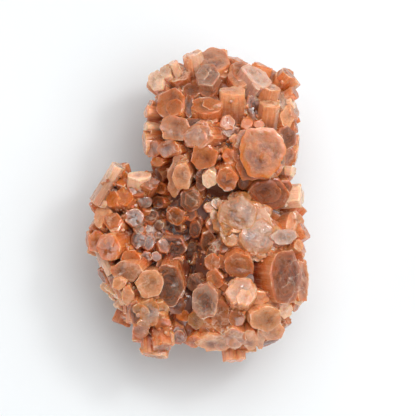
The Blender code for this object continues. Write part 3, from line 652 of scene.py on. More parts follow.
def reach_in_plane(heart, direction):
    """How far the outline lies from a heart along a direction in the plane."""
    best = LENGTH
    for k, (x, y) in enumerate(OUTLINE):
        start = Vector((x, y)) - heart
        run = Vector(OUTLINE[(k + 1) % len(OUTLINE)]) - Vector((x, y))
        cross = direction.x * run.y - direction.y * run.x
        if abs(cross) < NEARLY_ZERO:
            continue
        far = (start.x * run.y - start.y * run.x) / cross
        along = (start.x * direction.y - start.y * direction.x) / cross
        if far > 0.0 and 0.0 <= along <= 1.0:
            best = min(best, far)
    return best


def spiral(count, top, fall, turned):
    """Directions spread evenly over a ball, from a height down by a fall, as shares of its reach."""
    for number in range(count):
        height = top - fall * (number + 0.5) / count
        turn = number * GOLDEN_ANGLE + turned
        ring = math.sqrt(1.0 - height * height)
        yield ring * math.cos(turn), ring * math.sin(turn), height


def stray(rng, sway):
    """A random vector by which a direction strays."""
    return Vector([rng.gauss(0.0, sway) for _ in range(3)])


def back_crystals(rng):
    """Prisms all over the underside, with the outline as their limit."""
    grown = []
    for side, count in BACK_COUNT.items():
        lobe = LOBES[side]
        heart = Vector(lobe["heart"])
        rx, ry, _ = lobe["reach"]
        low = lobe["heart"][2] + UNDERSIDE_EXTRA
        for number, way in enumerate(spiral(count, 0.0, 1.0, 0.0)):
            axis = (Vector(way) + stray(rng, BACK_SWAY)).normalized()
            width = rng.uniform(*BACK_WIDTH)
            length = 1.0 / math.sqrt((axis.x / rx) ** 2 + (axis.y / ry) ** 2 + (axis.z / low) ** 2)
            flat = math.hypot(axis.x, axis.y)
            if flat > NEARLY_UPRIGHT:
                direction = Vector((axis.x, axis.y)) / flat
                limit = reach_in_plane(Vector((heart.x, heart.y)), direction)
                length = min(length, (limit - BACK_MARGIN * width * abs(axis.z)) / flat)
            length *= rng.uniform(*BACK_REACH)
            cap = upright_cap(rng, heart + axis * length, axis, width, width * rng.uniform(*BACK_DEPTH))
            tone = RULE_TONES[number % len(RULE_TONES)]
            grown.append(crystal(cap, axis, length * BACK_ROOT, tone, width))
    return grown


def gap_crystals(rng):
    """Smaller, shorter prisms that show in the gaps between the caps."""
    grown = []
    for side, count in GAP_COUNT.items():
        lobe = LOBES[side]
        heart = Vector(lobe["heart"])
        halfway = [0.5 * (1.0 + lobe["core"]) * reach for reach in lobe["reach"]]
        for number, way in enumerate(spiral(count, 0.0, -1.0, 1.0)):
            offset = Vector([c * reach for c, reach in zip(way, halfway)])
            axis = (offset + stray(rng, GAP_SWAY)).normalized()
            width = rng.uniform(*GAP_WIDTH)
            cap = upright_cap(rng, heart + offset, axis, width, width * rng.uniform(*GAP_DEPTH))
            tone = GAP_TONES[number % len(GAP_TONES)]
            grown.append(crystal(cap, axis, offset.length * GAP_ROOT, tone, width))
    return grown


def in_valley(place):
    """Whether a place lies in the dark valley between the balls, as seen from above."""
    x, y = place[:2]
    return any(((x - mx) / rx) ** 2 + ((y - my) / ry) ** 2 < 1.0 for (mx, my), (rx, ry) in VALLEY)


def fill_crystals(rng):
    """Fine prisms packed between the others, all round each ball."""
    grown = []
    for side, count in FILL_COUNT.items():
        lobe = LOBES[side]
        heart = Vector(lobe["heart"])
        for way in spiral(count, 1.0, FILL_FALL, 2.0):
            high = way[2] > FILL_LOW
            share = lobe["core"] + rng.uniform(*(FILL_REACH if high else FILL_REACH_LOW))
            offset = Vector([c * reach * share for c, reach in zip(Vector(way), lobe["reach"])])
            axis = (offset + stray(rng, FILL_SWAY)).normalized()
            width = rng.uniform(*(FILL_WIDTH if high else FILL_WIDTH_LOW))
            cap = upright_cap(rng, heart + offset, axis, width, width * rng.uniform(*FILL_DEPTH))
            # Fine prisms in the valley take darker tones, as painted shade of the recess
            tones = PAINTED_SHADE_TONES if in_valley(heart + offset) else FILL_TONES
            tone = tones[rng.randrange(len(tones))]
            if on_pale_strip(heart + offset):
                tone = "c"
            root = FILL_LENGTH + FILL_ROOT * offset.length
            grown.append(crystal(cap, axis, root, tone, min(width, SLENDER)))
    return grown


def foot_crystal(rng):
    """The crystal at the middle of the underside, which the specimen's flat spot cuts across."""
    tip = Vector(FOOT_TIP)
    cap = [tip + Vector((a, b, 0.0)) for a, b in rough_hexagon(rng, FLAT_SPOT, FLAT_SPOT)]
    return crystal(cap, Vector((0.0, 0.0, -1.0)), FOOT_LENGTH, "b", FLAT_SPOT)


def select_level(thing, low, high):
    """In edit mode, select the faces that lie whole between two heights."""
    bpy.ops.mesh.select_all(action="DESELECT")
    shape = bmesh.from_edit_mesh(thing.data)
    for face in shape.faces:
        face.select_set(all(low <= vertex.co.z <= high for vertex in face.verts))
    bmesh.update_edit_mesh(thing.data)


def model_prism(name, corners, facets, levels, insets):
    """Model an upright prism of radius one, its cap at z = 0 and its root at z = -1."""
    bpy.ops.object.select_all(action="DESELECT")
    bpy.ops.mesh.primitive_cylinder_add(
        vertices=corners * facets, radius=1.0, depth=1.0, location=(0.0, 0.0, -0.5), end_fill_type="NGON"
    )
    prism = bpy.context.object
    prism.name = name
    bpy.ops.object.transform_apply(location=True, rotation=True, scale=True)
    bpy.ops.object.mode_set(mode="EDIT")
    for level in levels:
        bpy.ops.mesh.select_all(action="SELECT")
        bpy.ops.mesh.bisect(plane_co=(0.0, 0.0, -level), plane_no=(0.0, 0.0, 1.0))
    select_level(prism, -LEVEL_GAP, LEVEL_GAP)
    for inset in insets:
        bpy.ops.mesh.inset(thickness=inset, use_even_offset=False)
    bpy.ops.mesh.poke()
    bpy.ops.object.mode_set(mode="OBJECT")
    return prism


def read_master(prism, corners, facets):
    """What fitting needs to know of a modelled prism: each vertex's place round, out and down."""
    mesh = prism.data
    places = np.empty(len(mesh.vertices) * 3)
    mesh.vertices.foreach_get("co", places)
    places = places.reshape(-1, 3)
    out = np.hypot(places[:, 0], places[:, 1])
    turn = np.arctan2(-places[:, 0], places[:, 1]) / math.tau % 1.0
    column = np.rint(turn * corners * facets).astype(int) % (corners * facets)
    loops = np.empty(len(mesh.loops), dtype=int)
    mesh.loops.foreach_get("vertex_index", loops)
    around = np.empty(len(loops))
    for face in mesh.polygons:
        span = list(face.loop_indices)
        part = turn[loops[span]].copy()
        if part.max() - part.min() > 0.5:
            part[part < 0.5] += 1.0
        around[span] = part
    return {
        "mesh": mesh, "out": np.minimum(out, 1.0), "down": -places[:, 2], "column": column, "facets": facets,
        "corners": corners, "loops": loops, "around": around,
    }


def wound(cap, axis):
    """Cap corners in anticlockwise order as seen from the tip."""
    turned = sum((cap[k - 1].cross(cap[k]) for k in range(len(cap))), Vector())
    return cap if turned.dot(axis) > 0.0 else list(reversed(cap))


def fitted_outline(ring, middle, corners, facets):
    """A cap's outline at every column of the prism's mesh, its corners a little rounded."""
    along = np.arange(corners * facets) / facets
    start = along.astype(int)
    share = (along - start)[:, None]
    outline = ring[start % corners] * (1.0 - share) + ring[(start + 1) % corners] * share
    rounded = (outline + np.roll(outline, 1, 0) + np.roll(outline, -1, 0)) / 3.0
    sharp = np.linalg.norm(outline, axis=1).mean()
    outline = 0.5 * outline + 0.5 * rounded
    outline *= ROUNDED_GROWTH * sharp / np.linalg.norm(outline, axis=1).mean()
    radius = np.linalg.norm(outline, axis=1)
    uneven = [noise.noise(Vector(point * OUTLINE_SWAYS_PER_MM + middle)) for point in outline]
    return outline * (1.0 + OUTLINE_SWAY * np.array(uneven)[:, None]), radius


def grooved_edge(rng, sizes, radius):
    """Shares by which grooves, and on some crystals the notch where twins meet, cut the sides in."""
    size = radius.mean()
    columns = len(radius)
    deepest = min(1.0, size / GROOVES_FULL)
    groove = np.array([rng.random() for _ in range(columns)]) * sizes.groove / MM * deepest
    if rng.random() < NOTCHED:
        notch = rng.randrange(columns)
        groove[notch] += NOTCH * size
        groove[notch - 1] += NOTCH_SIDE * size
    return 1.0 - groove / np.maximum(radius, NARROWEST)


def paint_tone(mesh, tone, middle, rng):
    """Give a crystal's faces its colour, darkened as painted shade in the valley, and in the alpha how far
    iron stains it.
    """
    shade = 1.0
    # Painted shade: crystals in the valley are darkened; the random shade after it is their own tone
    if in_valley(middle) and tone != "s":
        shade = GREY_PAINTED_SHADE if tone == "g" else VALLEY_PAINTED_SHADE
    shade *= rng.uniform(*SHADES)
    painted = [c * shade * rng.uniform(*HUES) for c in linear(TONES[tone])]
    stained = STAINED.get(tone, 1.0) * rng.uniform(*STAINS)
    paint = mesh.attributes.new("tone", "FLOAT_COLOR", "FACE")
    paint.data.foreach_set("color", np.tile([*painted, stained], len(mesh.polygons)).astype(np.float32))


def fit_prism(master, measures, rng, sizes, name):
    """Copy a modelled prism and fit it to one crystal's cap, axis, grooves, steps and wear."""
    corners, facets = master["corners"], master["facets"]
    columns = corners * facets
    ring = np.array([corner[:] for corner in wound(measures["cap"], measures["axis"])])
    middle = ring.mean(0)
    ring -= middle
    axis = np.array(measures["axis"][:])
    outline, radius = fitted_outline(ring, middle, corners, facets)
    size = radius.mean()
    edge = grooved_edge(rng, sizes, radius)

    # The cap is worn at its edge, stepped across one line and swollen a little
    wear = (sizes.edge_wear / MM) * (0.5 + np.array([rng.random() for _ in range(columns)]))
    chip = rng.randrange(columns)
    wear[chip] += rng.uniform(0.0, CHIP)
    relief = sizes.relief / MM * min(1.0, size / RELIEF_FULL) * ROUGHER.get(measures["tone"], 1.0)
    step_way = rng.uniform(0.0, math.tau)
    step_at = rng.uniform(*STEP_AT)
    step = relief * rng.uniform(0.0, STEP)
    swell = rng.uniform(*SWELL) * relief

    out, down, column = master["out"], master["down"], master["column"]
    levels = np.unique(np.round(down, 5))
    depths = np.array(RING_DEPTHS[:len(levels) - 1] + (measures["length"],))
    depth = depths[np.searchsorted(levels, np.round(down, 5))]
    on_cap = down < CAP_LEVEL
    inner = on_cap & (out < CAP_EDGE)
    spread = np.where(inner, out, 1.0)
    taper = 1.0 - (1.0 - measures["root"]) * depth / measures["length"]
    flat = outline[column] * (spread * edge[column] * taper)[:, None]
    way = np.cos(math.tau * column / columns - step_way) * out
    lift = np.where(
        inner,
        swell * (1.0 - out ** 2) - step * (way > step_at) * np.minimum(1.0, (1.0 - out) * STEP_FADE),
        0.0,
    )
    swells = SWELLS_PER_MM_PALE if measures["tone"] == "s" else SWELLS_PER_MM
    swollen = np.array([noise.noise(Vector(point * swells + middle)) for point in flat])
    rippled = np.array([noise.noise(Vector(point * RIPPLES_PER_MM + middle)) for point in flat])
    lift += np.where(on_cap, (swollen + RIPPLE * out * out * rippled) * relief, 0.0)

    # The cap's very middle lies level with the ring round it
    hub = on_cap & (out < HUB_REACH)
    round_hub = on_cap & ~hub & (out < out[on_cap & ~hub].min() + RING_REACH)
    lift[hub] = lift[round_hub].mean()
    lift -= np.where(on_cap & ~inner, wear[column], 0.0)
    places = middle + flat + axis * (lift - depth)[:, None]

    mesh = master["mesh"].copy()
    mesh.name = name
    mesh.vertices.foreach_set("co", (places * MM).astype(np.float32).ravel())
    layer = mesh.uv_layers.new(name="growth", do_init=False)
    perimeter = np.linalg.norm(outline - np.roll(outline, 1, 0), axis=1).sum()
    inward = np.where(on_cap, -(1.0 - out) * size, depth)
    flow = np.stack([master["around"] * perimeter, inward[master["loops"]]], 1)
    layer.uv.foreach_set("vector", flow.astype(np.float32).ravel())
    paint_tone(mesh, measures["tone"], middle, rng)
    return bpy.data.objects.new(name, mesh)


def fit_prisms(collection, grown, rng, sizes):
    """Model each kind of prism once, and fit a copy of the right one to every crystal."""
    masters = {}
    for corners in sorted({len(measures["cap"]) for measures in grown}):
        for make, (_, facets, levels, insets) in MAKES.items():
            prism = model_prism(f"{make}_{corners}", corners, facets, levels, insets)
            masters[make, corners] = (prism, read_master(prism, corners, facets))
    for number, measures in enumerate(grown):
        make = next(name for name, row in MAKES.items() if measures["width"] > row[0])
        _, master = masters[make, len(measures["cap"])]
        collection.objects.link(fit_prism(master, measures, rng, sizes, f"crystal_{number}"))
    for prism, _ in masters.values():
        bpy.data.objects.remove(prism)


def satellites(rng, grown):
    """Slim prisms and growth terraces on the wider crystals, and the pale mass's rubble."""
    added = []
    for measures in grown:
        if measures["width"] < SATELLITE_HOST:
            continue
        cap = wound(measures["cap"], measures["axis"])
        middle = sum(cap, Vector()) / len(cap)
        axis, tone = measures["axis"], measures["tone"]
        for _ in range(rng.choice(SATELLITE_NUMBER)):
            k = rng.randrange(len(cap))
            spot = cap[k].lerp(cap[(k + 1) % len(cap)], rng.uniform(*SATELLITE_ALONG))
            tip = middle.lerp(spot, rng.uniform(*SATELLITE_OUT)) - axis * rng.uniform(*SATELLITE_SINK)
            scale = rng.uniform(*SATELLITE_SCALE)
            small = [tip + (corner - middle) * scale for corner in cap]
            added.append(crystal(small, axis, measures["length"] * SATELLITE_ROOT, tone, SLENDER))
        for _ in range(0 if tone in TERRACE_NONE else rng.choice(TERRACE_NUMBER)):
            k = rng.randrange(len(cap))
            scale = rng.uniform(*TERRACE_SCALE)
            tip = middle.lerp(cap[k], TERRACE_OUT * (1.0 - scale)) + axis * rng.uniform(*TERRACE_RISE)
            step = [tip + (corner - middle) * scale for corner in cap]
            added.append(crystal(step, axis, TERRACE_LENGTH, tone, TERRACE_WIDTH * scale))
        if tone == "s" and measures["width"] > RUBBLE_HOST:
            added += rubble(rng, cap, middle, axis)
    return added


def rubble(rng, cap, middle, axis):
    """Small crystals that break up the face and the edge of the pale mass."""
    added = []
    for number in range(RUBBLE_COUNT):
        k = rng.randrange(len(cap))
        spot = cap[k].lerp(cap[(k + 1) % len(cap)], rng.random())
        out = rng.uniform(*RUBBLE_OUT)
        sink = rng.uniform(*RUBBLE_SINK)
        lean = (axis + stray(rng, RUBBLE_SWAY)).normalized()
        width = rng.uniform(*RUBBLE_WIDTH)
        tip = middle.lerp(spot, out) - axis * sink
        small = upright_cap(rng, tip, lean, width, width * rng.uniform(*RUBBLE_DEPTH))
        tone = RUBBLE_TONES[number % len(RUBBLE_TONES)]
        added.append(crystal(small, lean, RUBBLE_LENGTH, tone, SLENDER))
    return added


def core_ball(lobe, name):
    """The solid middle of a ball, where its prisms have grown into each other."""
    bpy.ops.object.select_all(action="DESELECT")
    bpy.ops.mesh.primitive_ico_sphere_add(subdivisions=4, radius=1.0)
    ball = bpy.context.object
    ball.name = name
    heart = Vector(lobe["heart"])
    for vertex in ball.data.vertices:
        sized = Vector([c * r * lobe["core"] for c, r in zip(vertex.co, lobe["reach"])])
        rough = 1.0 + CORE_SWELL * noise.noise(sized * CORE_SWELLS_PER_MM)
        rough += CORE_GRIT * noise.noise(sized * CORE_GRITS_PER_MM)
        vertex.co = (heart + sized * rough) * MM
    layer = ball.data.uv_layers.active
    layer.name = "growth"
    layer.uv.foreach_set("vector", np.full(len(ball.data.loops) * 2, CORE_DEPTH, dtype=np.float32))
    paint = ball.data.attributes.new("tone", "FLOAT_COLOR", "FACE")
    tone = (*linear(TONES["o"]), 1.0)
    paint.data.foreach_set("color", np.tile(tone, len(ball.data.polygons)).astype(np.float32))
    return ball


def keep_largest(mesh):
    """Drop the closed pockets that a union leaves inside."""
    shape = bmesh.new()
    shape.from_mesh(mesh)
    left = set(shape.verts)
    shells = []
    while left:
        shell = []
        queue = [left.pop()]
        while queue:
            vertex = queue.pop()
            shell.append(vertex)
            for edge in vertex.link_edges:
                other = edge.other_vert(vertex)
                if other in left:
                    left.remove(other)
                    queue.append(other)
        shells.append(shell)
    shells.sort(key=len)
    for shell in shells[:-1]:
        bmesh.ops.delete(shape, geom=shell, context="VERTS")
    shape.to_mesh(mesh)
    shape.free()


def unite(base, collection):
    """Join a collection of closed crystals with a base, and cut the flat spot."""
    union = base.modifiers.new("grown_together", "BOOLEAN")
    union.operation = "UNION"
    union.solver = "MANIFOLD"
    union.operand_type = "COLLECTION"
    union.collection = collection
    bpy.ops.object.select_all(action="DESELECT")
    bpy.ops.mesh.primitive_cube_add(size=1.0, location=(0.0, 0.0, -0.5 * BLOCK_HEIGHT * MM))
    block = bpy.context.object
    block.scale = (2.0 * LENGTH * MM, 2.0 * LENGTH * MM, BLOCK_HEIGHT * MM)
    cut = base.modifiers.new("flat_spot", "BOOLEAN")
    cut.operation = "DIFFERENCE"
    cut.solver = "MANIFOLD"
    cut.object = block
    bpy.ops.object.select_all(action="DESELECT")
    base.select_set(True)
    bpy.context.view_layer.objects.active = base
    bpy.ops.object.modifier_apply(modifier="grown_together")
    bpy.ops.object.modifier_apply(modifier="flat_spot")
    bpy.data.objects.remove(block)
    keep_largest(base.data)


def model_grain():
    """Model one small stubby crystal, its cap at z = 1 and its root at z = 0."""
    bpy.ops.object.select_all(action="DESELECT")
    bpy.ops.mesh.primitive_cylinder_add(
        vertices=SIDES, radius=0.5, depth=1.0, location=(0.0, 0.0, 0.5), end_fill_type="NGON"
    )
    small = bpy.context.object
    bpy.ops.object.transform_apply(location=True, rotation=True, scale=True)
    bpy.ops.object.mode_set(mode="EDIT")
    select_level(small, 1.0 - LEVEL_GAP, 1.0 + LEVEL_GAP)
    bpy.ops.mesh.bevel(offset=DRUSE_BEVEL, segments=1, affect="EDGES")
    bpy.ops.object.mode_set(mode="OBJECT")
    return small


def scatter(mesh, rng, count):
    """Random places on a mesh with their normals, thickest on the sides and roots of the prisms."""
    number = len(mesh.polygons)
    area, centre, normal = np.empty(number), np.empty(number * 3), np.empty(number * 3)
    mesh.polygons.foreach_get("area", area)
    mesh.polygons.foreach_get("center", centre)
    mesh.polygons.foreach_get("normal", normal)
    flow = np.empty(len(mesh.loops) * 2)
    mesh.uv_layers["growth"].uv.foreach_get("vector", flow)
    first = np.array([face.loop_start for face in mesh.polygons])
    depth = flow.reshape(-1, 2)[first, 1]
    thickness = np.minimum(1.0, DRUSE_LEAST + depth / DRUSE_THICKEST)
    weight = area * np.where(depth < DRUSE_SHALLOWEST, 0.0, thickness)
    total = np.cumsum(weight)
    places = []
    while len(places) < count:
        at = int(np.searchsorted(total, rng.random() * total[-1]))
        x, y = centre[3 * at] / MM, centre[3 * at + 1] / MM
        near = any(math.hypot(x - px, y - py) < reach for px, py, reach in DRUSE_PATCHES)
        if not near and rng.random() > DRUSE_STRAY:
            continue
        face = mesh.polygons[at]
        corner = mesh.vertices[face.vertices[rng.randrange(len(face.vertices))]].co
        spot = Vector(centre[3 * at:3 * at + 3]).lerp(corner, math.sqrt(rng.random()))
        places.append((spot / MM, Vector(normal[3 * at:3 * at + 3])))
    return places


def placed_grain(rng, shape, spot, normal):
    """Points and height of one tiny crystal that grows out of its ball and of the face it sits on."""
    away = (spot - Vector(nearest_lobe(spot)["heart"])).normalized()
    axis = (away * DRUSE_OUTWARD + normal * DRUSE_UPRIGHT + stray(rng, DRUSE_SWAY)).normalized()
    narrowest, wider = DRUSE_WIDTH
    width = narrowest + wider * rng.random() ** 2
    height = width * rng.uniform(*DRUSE_HEIGHT)
    turn = axis.to_track_quat("Z", "Y").to_matrix() @ Matrix.Rotation(rng.uniform(0.0, math.tau), 3, "Z")
    stretch = np.array([width, width * rng.uniform(*DRUSE_DEPTH), height])
    root = np.array(spot[:]) - np.array(axis[:]) * height * rng.uniform(*DRUSE_SINK)
    return (shape * stretch) @ np.array(turn).T + root, height


def druse_mesh(cluster, count):
    """All the tiny crystals in one mesh, each a copy of one modelled grain."""
    rng = random.Random(SEED + 2)
    small = model_grain()
    shape = np.array([vertex.co[:] for vertex in small.data.vertices])
    faces = [list(face.vertices) for face in small.data.polygons]
    below = np.concatenate([(1.0 - shape[face, 2]) for face in faces])
    bpy.data.objects.remove(small)
    points, corners, flow, tones = [], [], [], []
    for spot, normal in scatter(cluster, rng, count):
        if spot.z < LOWEST_DRUSE:
            continue
        placed, height = placed_grain(rng, shape, spot, normal)
        corners.extend([[len(shape) * len(points) + v for v in face] for face in faces])
        points.append(placed)
        around = np.full(len(below), rng.random() * DRUSE_AROUND)
        flow.append(np.stack([around, below * height - DRUSE_CAP], 1))
        tone = linear(TONES[DRUSE_TONES[rng.randrange(len(DRUSE_TONES))]])
        tone = [c * rng.uniform(*DRUSE_HUES) for c in tone]
        tones.append(np.tile([*tone, DRUSE_STAIN], len(faces)))
    mesh = bpy.data.meshes.new("druse")
    mesh.from_pydata((np.concatenate(points) * MM).tolist(), [], corners)
    layer = mesh.uv_layers.new(name="growth", do_init=False)
    layer.uv.foreach_set("vector", np.concatenate(flow).astype(np.float32).ravel())
    paint = mesh.attributes.new("tone", "FLOAT_COLOR", "FACE")
    paint.data.foreach_set("color", np.concatenate(tones).astype(np.float32))
    return mesh


def add_node(tree, kind, inputs=None, links=None, **settings):
    """Add a shader node, set its options and inputs, and link other nodes' outputs into it."""
    node = tree.nodes.new(kind)
    for key, value in settings.items():
        setattr(node, key, value)
    for key, value in (inputs or {}).items():
        node.inputs[key].default_value = value
    for key, source in (links or {}).items():
        tree.links.new(source, node.inputs[key])
    return node


def spread(tree, source, low, high, to_low=0.0, to_high=1.0):
    """Map a value's range onto another, kept between its ends."""
    node = add_node(
        tree, "ShaderNodeMapRange", {"From Min": low, "From Max": high, "To Min": to_low, "To Max": to_high},
        {"Value": source},
    )
    return node.outputs["Result"]


def combine(tree, operation, first, second):
    """Join two values by one step of arithmetic; either may be a plain number."""
    node = add_node(tree, "ShaderNodeMath", operation=operation)
    for slot, value in enumerate((first, second)):
        if isinstance(value, (int, float)):
            node.inputs[slot].default_value = value
        else:
            tree.links.new(value, node.inputs[slot])
    return node.outputs["Value"]


def blend_colour(tree, share, first, second, blend_type="MIX"):
    """Mix two colours, each a socket or fixed, by a share."""
    node = add_node(tree, "ShaderNodeMix", data_type="RGBA", blend_type=blend_type)
    for slot, value in ((0, share), (6, first), (7, second)):
        if isinstance(value, bpy.types.NodeSocket):
            tree.links.new(value, node.inputs[slot])
        elif slot == 0:
            node.inputs[slot].default_value = value
        else:
            node.inputs[slot].default_value = (*value, 1.0)
    return node.outputs[2]


def grain(tree, source, scale, detail=3.0, roughness=0.55):
    """Cloudy noise at a scale per metre or per millimetre of its source."""
    node = add_node(
        tree, "ShaderNodeTexNoise", {"Scale": scale, "Detail": detail, "Roughness": roughness},
        {"Vector": source},
    )
    return node.outputs["Fac"]


def product(tree, first, second):
    """Multiply two values; the second may be a plain number."""
    return combine(tree, "MULTIPLY", first, second)


def stretched(tree, growth, scale):
    """The prism's own coordinates, stretched along or across its sides."""
    node = add_node(tree, "ShaderNodeMapping", {"Scale": scale}, {"Vector": growth}, vector_type="POINT")
    return node.outputs["Vector"]


def stained_side(tree, colours, made):
    """From cap to root: apricot sides, then iron-stained orange, then red-brown between the roots, there
    partly painted shade.
    """
    iron, depth, fibre = made["iron"], made["depth"], made["fibre"]
    stained = combine(tree, "ADD", spread(tree, depth, 0.0, 6.0), product(tree, made["cloud"], 0.5))
    stained = combine(tree, "ADD", stained, product(tree, made["band"], 0.3))
    side = blend_colour(tree, spread(tree, iron, 0.0, 1.0, 0.9, 0.2), colours.side, made["tone"])
    stain = product(tree, spread(tree, stained, 0.4, 0.75), iron)
    side = blend_colour(tree, stain, side, colours.stain)
    # Partly painted shade: the sides turn darkest red-brown deepest down, between the roots
    deepest = product(tree, spread(tree, stained, 0.75, 1.25), spread(tree, iron, 0.0, 0.6, 0.3, 1.0))
    side = blend_colour(tree, deepest, side, colours.root)
    side = blend_colour(tree, spread(tree, fibre, 0.5, 0.72, 0.0, 0.45), side, colours.root)
    return blend_colour(tree, spread(tree, fibre, 0.48, 0.3, 0.0, 0.3), side, colours.rim)


def cloudy_cap(tree, colours, made):
    """Caps take a painted light, stained orange, by their edges and a painted shade, clouded grey-brown,
    inwards, with fine specks.
    """
    depth, cloud, speck, tone = made["depth"], made["cloud"], made["speck"], made["tone"]
    # Painted light: the caps' edges are painted stained orange, as if lit through, and keep their tone
    # inwards
    painted_edge_glow = spread(tree, combine(tree, "ADD", depth, product(tree, cloud, 1.8)), 1.0, 0.1)
    cap = blend_colour(tree, spread(tree, made["iron"], 0.0, 1.0, 0.0, 0.5), tone, colours.stain)
    cap = blend_colour(tree, painted_edge_glow, cap, tone)
    # Painted shade: the middle of each cap is darkened to a clouded grey-brown
    painted_shade_veil = product(tree, spread(tree, depth, 0.0, -2.2), spread(tree, cloud, 0.35, 0.65, 0.15, 1.0))
    cap = blend_colour(tree, painted_shade_veil, cap, colours.painted_shade_veil, "MULTIPLY")
    cap = blend_colour(tree, spread(tree, made["band"], 0.46, 0.7, 0.0, 0.4), cap, colours.stain)
    cap = blend_colour(tree, spread(tree, speck, 0.52, 0.7, 0.0, 0.12), cap, colours.rim)
    return blend_colour(tree, spread(tree, speck, 0.48, 0.3, 0.0, 0.18), cap, colours.root)


def cracks_and_rim_highlights(tree, colours, made, body):
    """Healed cracks show as pale wisps in the stone, and the cap edges carry a painted highlight as pale,
    broken rims.
    """
    place = made["place"]
    split = combine(tree, "ABSOLUTE", combine(tree, "SUBTRACT", grain(tree, place, CRACKS), 0.5), 0.0)
    patches = spread(tree, grain(tree, place, CRACK_PATCHES), 0.5, 0.62)
    wisp = product(tree, spread(tree, split, 0.035, 0.0), patches)
    body = blend_colour(tree, product(tree, wisp, 0.4), body, colours.rim)
    # Painted highlight: a pale, broken band along the cap edges, where they would catch the light
    near = spread(tree, combine(tree, "ABSOLUTE", made["depth"], 0.0), 0.24, 0.02)
    rim = product(tree, near, spread(tree, grain(tree, place, RIM_HIGHLIGHTS), 0.5, 0.66, 0.0, 0.85))
    return blend_colour(tree, rim, body, colours.rim)


def waxy_finish(tree, shader, made):
    """Waxy stone with small glassy patches that catch the light, grooved sides and sugary caps."""
    place = made["place"]
    glassy = spread(tree, grain(tree, place, GLASSY_PATCHES, 3.0), 0.5, 0.6, 0.42, 0.08)
    tree.links.new(glassy, shader.inputs["Roughness"])
    relief = product(tree, made["fibre"], spread(tree, made["depth"], 0.0, 0.3))
    sugary = product(tree, grain(tree, place, SUGAR, 2.0), spread(tree, made["iron"], 0.45, 0.75, 1.7, 0.7))
    relief = combine(tree, "ADD", relief, sugary)
    bump = add_node(tree, "ShaderNodeBump", {"Strength": 0.8, "Distance": 0.00017}, {"Height": relief})
    tree.links.new(bump.outputs["Normal"], shader.inputs["Normal"])


def aragonite_surface(colours, name, depth_of_light):
    """Aragonite, grown from solution: waxy caps over a translucent, iron-stained orange body."""
    material = bpy.data.materials.new(name)
    material.use_nodes = True
    tree = material.node_tree
    shader = tree.nodes["Principled BSDF"]
    growth = add_node(tree, "ShaderNodeUVMap", uv_map="growth").outputs["UV"]
    place = add_node(tree, "ShaderNodeTexCoord").outputs["Object"]
    paint = add_node(tree, "ShaderNodeAttribute", attribute_name="tone")
    made = {
        "place": place,
        "depth": add_node(tree, "ShaderNodeSeparateXYZ", links={"Vector": growth}).outputs["Y"],
        "tone": paint.outputs["Color"],
        "iron": paint.outputs["Alpha"],
        "cloud": grain(tree, place, CLOUDS),
        "speck": grain(tree, place, SPECKS, 4.0, 0.65),
        "fibre": grain(tree, stretched(tree, growth, GROOVES_STRETCH), 1.0, 5.0, 0.7),
        "band": grain(tree, stretched(tree, growth, BANDS_STRETCH), 1.0, 2.0, 0.5),
    }
    side = stained_side(tree, colours, made)
    body = blend_colour(tree, spread(tree, made["depth"], 0.15, -0.02), side, cloudy_cap(tree, colours, made))
    body = cracks_and_rim_highlights(tree, colours, made, body)
    tree.links.new(body, shader.inputs["Base Color"])
    waxy_finish(tree, shader, made)
    shader.inputs["IOR"].default_value = 1.6
    shader.inputs["Subsurface Weight"].default_value = 1.0
    shader.inputs["Subsurface Radius"].default_value = (1.0, 0.48, 0.28)
    shader.inputs["Subsurface Scale"].default_value = depth_of_light
    shader.inputs["Coat Weight"].default_value = 0.35
    shader.inputs["Coat Roughness"].default_value = 0.07
    return material


class ARAGONITE_OT_cluster(bpy.types.Operator):
    """Grow every prism of the cluster and join them in one piece."""

    bl_idname = "aragonite.cluster"
    bl_label = "Grow cluster"

    def execute(self, context):
        scene = context.scene
        rng = random.Random(SEED)
        grown = front_crystals(rng)
        grown += big_crystals()
        grown += side_on_crystals(rng)
        grown += rim_crystals(rng)
        grown += back_crystals(rng)
        grown += gap_crystals(rng)
        grown.append(foot_crystal(rng))
        detail = random.Random(SEED + 1)
        grown += satellites(detail, grown) + fill_crystals(detail)
        crystals = bpy.data.collections.new("crystals")
        scene.collection.children.link(crystals)
        fit_prisms(crystals, grown, detail, scene.aragonite_sizes)
        balls = [core_ball(lobe, f"{side}_core") for side, lobe in LOBES.items()]
        base = balls[0]
        for ball in balls[1:]:
            for holder in list(ball.users_collection):
                holder.objects.unlink(ball)
            crystals.objects.link(ball)
        unite(base, crystals)
        for thing in list(crystals.objects):
            bpy.data.objects.remove(thing)
        bpy.data.collections.remove(crystals)
        base.name = "grown_crystals"
        base.data.materials.clear()
        base.data.materials.append(aragonite_surface(scene.aragonite_colours, "grown_aragonite", LIGHT_DEPTH))
        bpy.ops.object.select_all(action="DESELECT")
        base.select_set(True)
        bpy.context.view_layer.objects.active = base
        bpy.ops.object.shade_smooth_by_angle(angle=math.radians(SMOOTH_ANGLE))
        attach(base, "root")
        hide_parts(NODE)
        return {"FINISHED"}


class ARAGONITE_OT_druse(bpy.types.Operator):
    """Crust the sides and gaps of the prisms with tiny crystals."""

    bl_idname = "aragonite.druse"
    bl_label = "Crust druse"

    def execute(self, context):
        cluster = bpy.data.objects.get("grown_crystals")
        if cluster is None:
            self.report({"ERROR"}, "Grow the cluster first")
            return {"CANCELLED"}
        mesh = druse_mesh(cluster.data, context.scene.aragonite_sizes.druse)
        surface = aragonite_surface(context.scene.aragonite_colours, "sugary_aragonite", LIGHT_DEPTH_DRUSE)
        mesh.materials.append(surface)
        druse = bpy.data.objects.new("druse", mesh)
        context.scene.collection.objects.link(druse)
        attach(druse, "root")
        return {"FINISHED"}


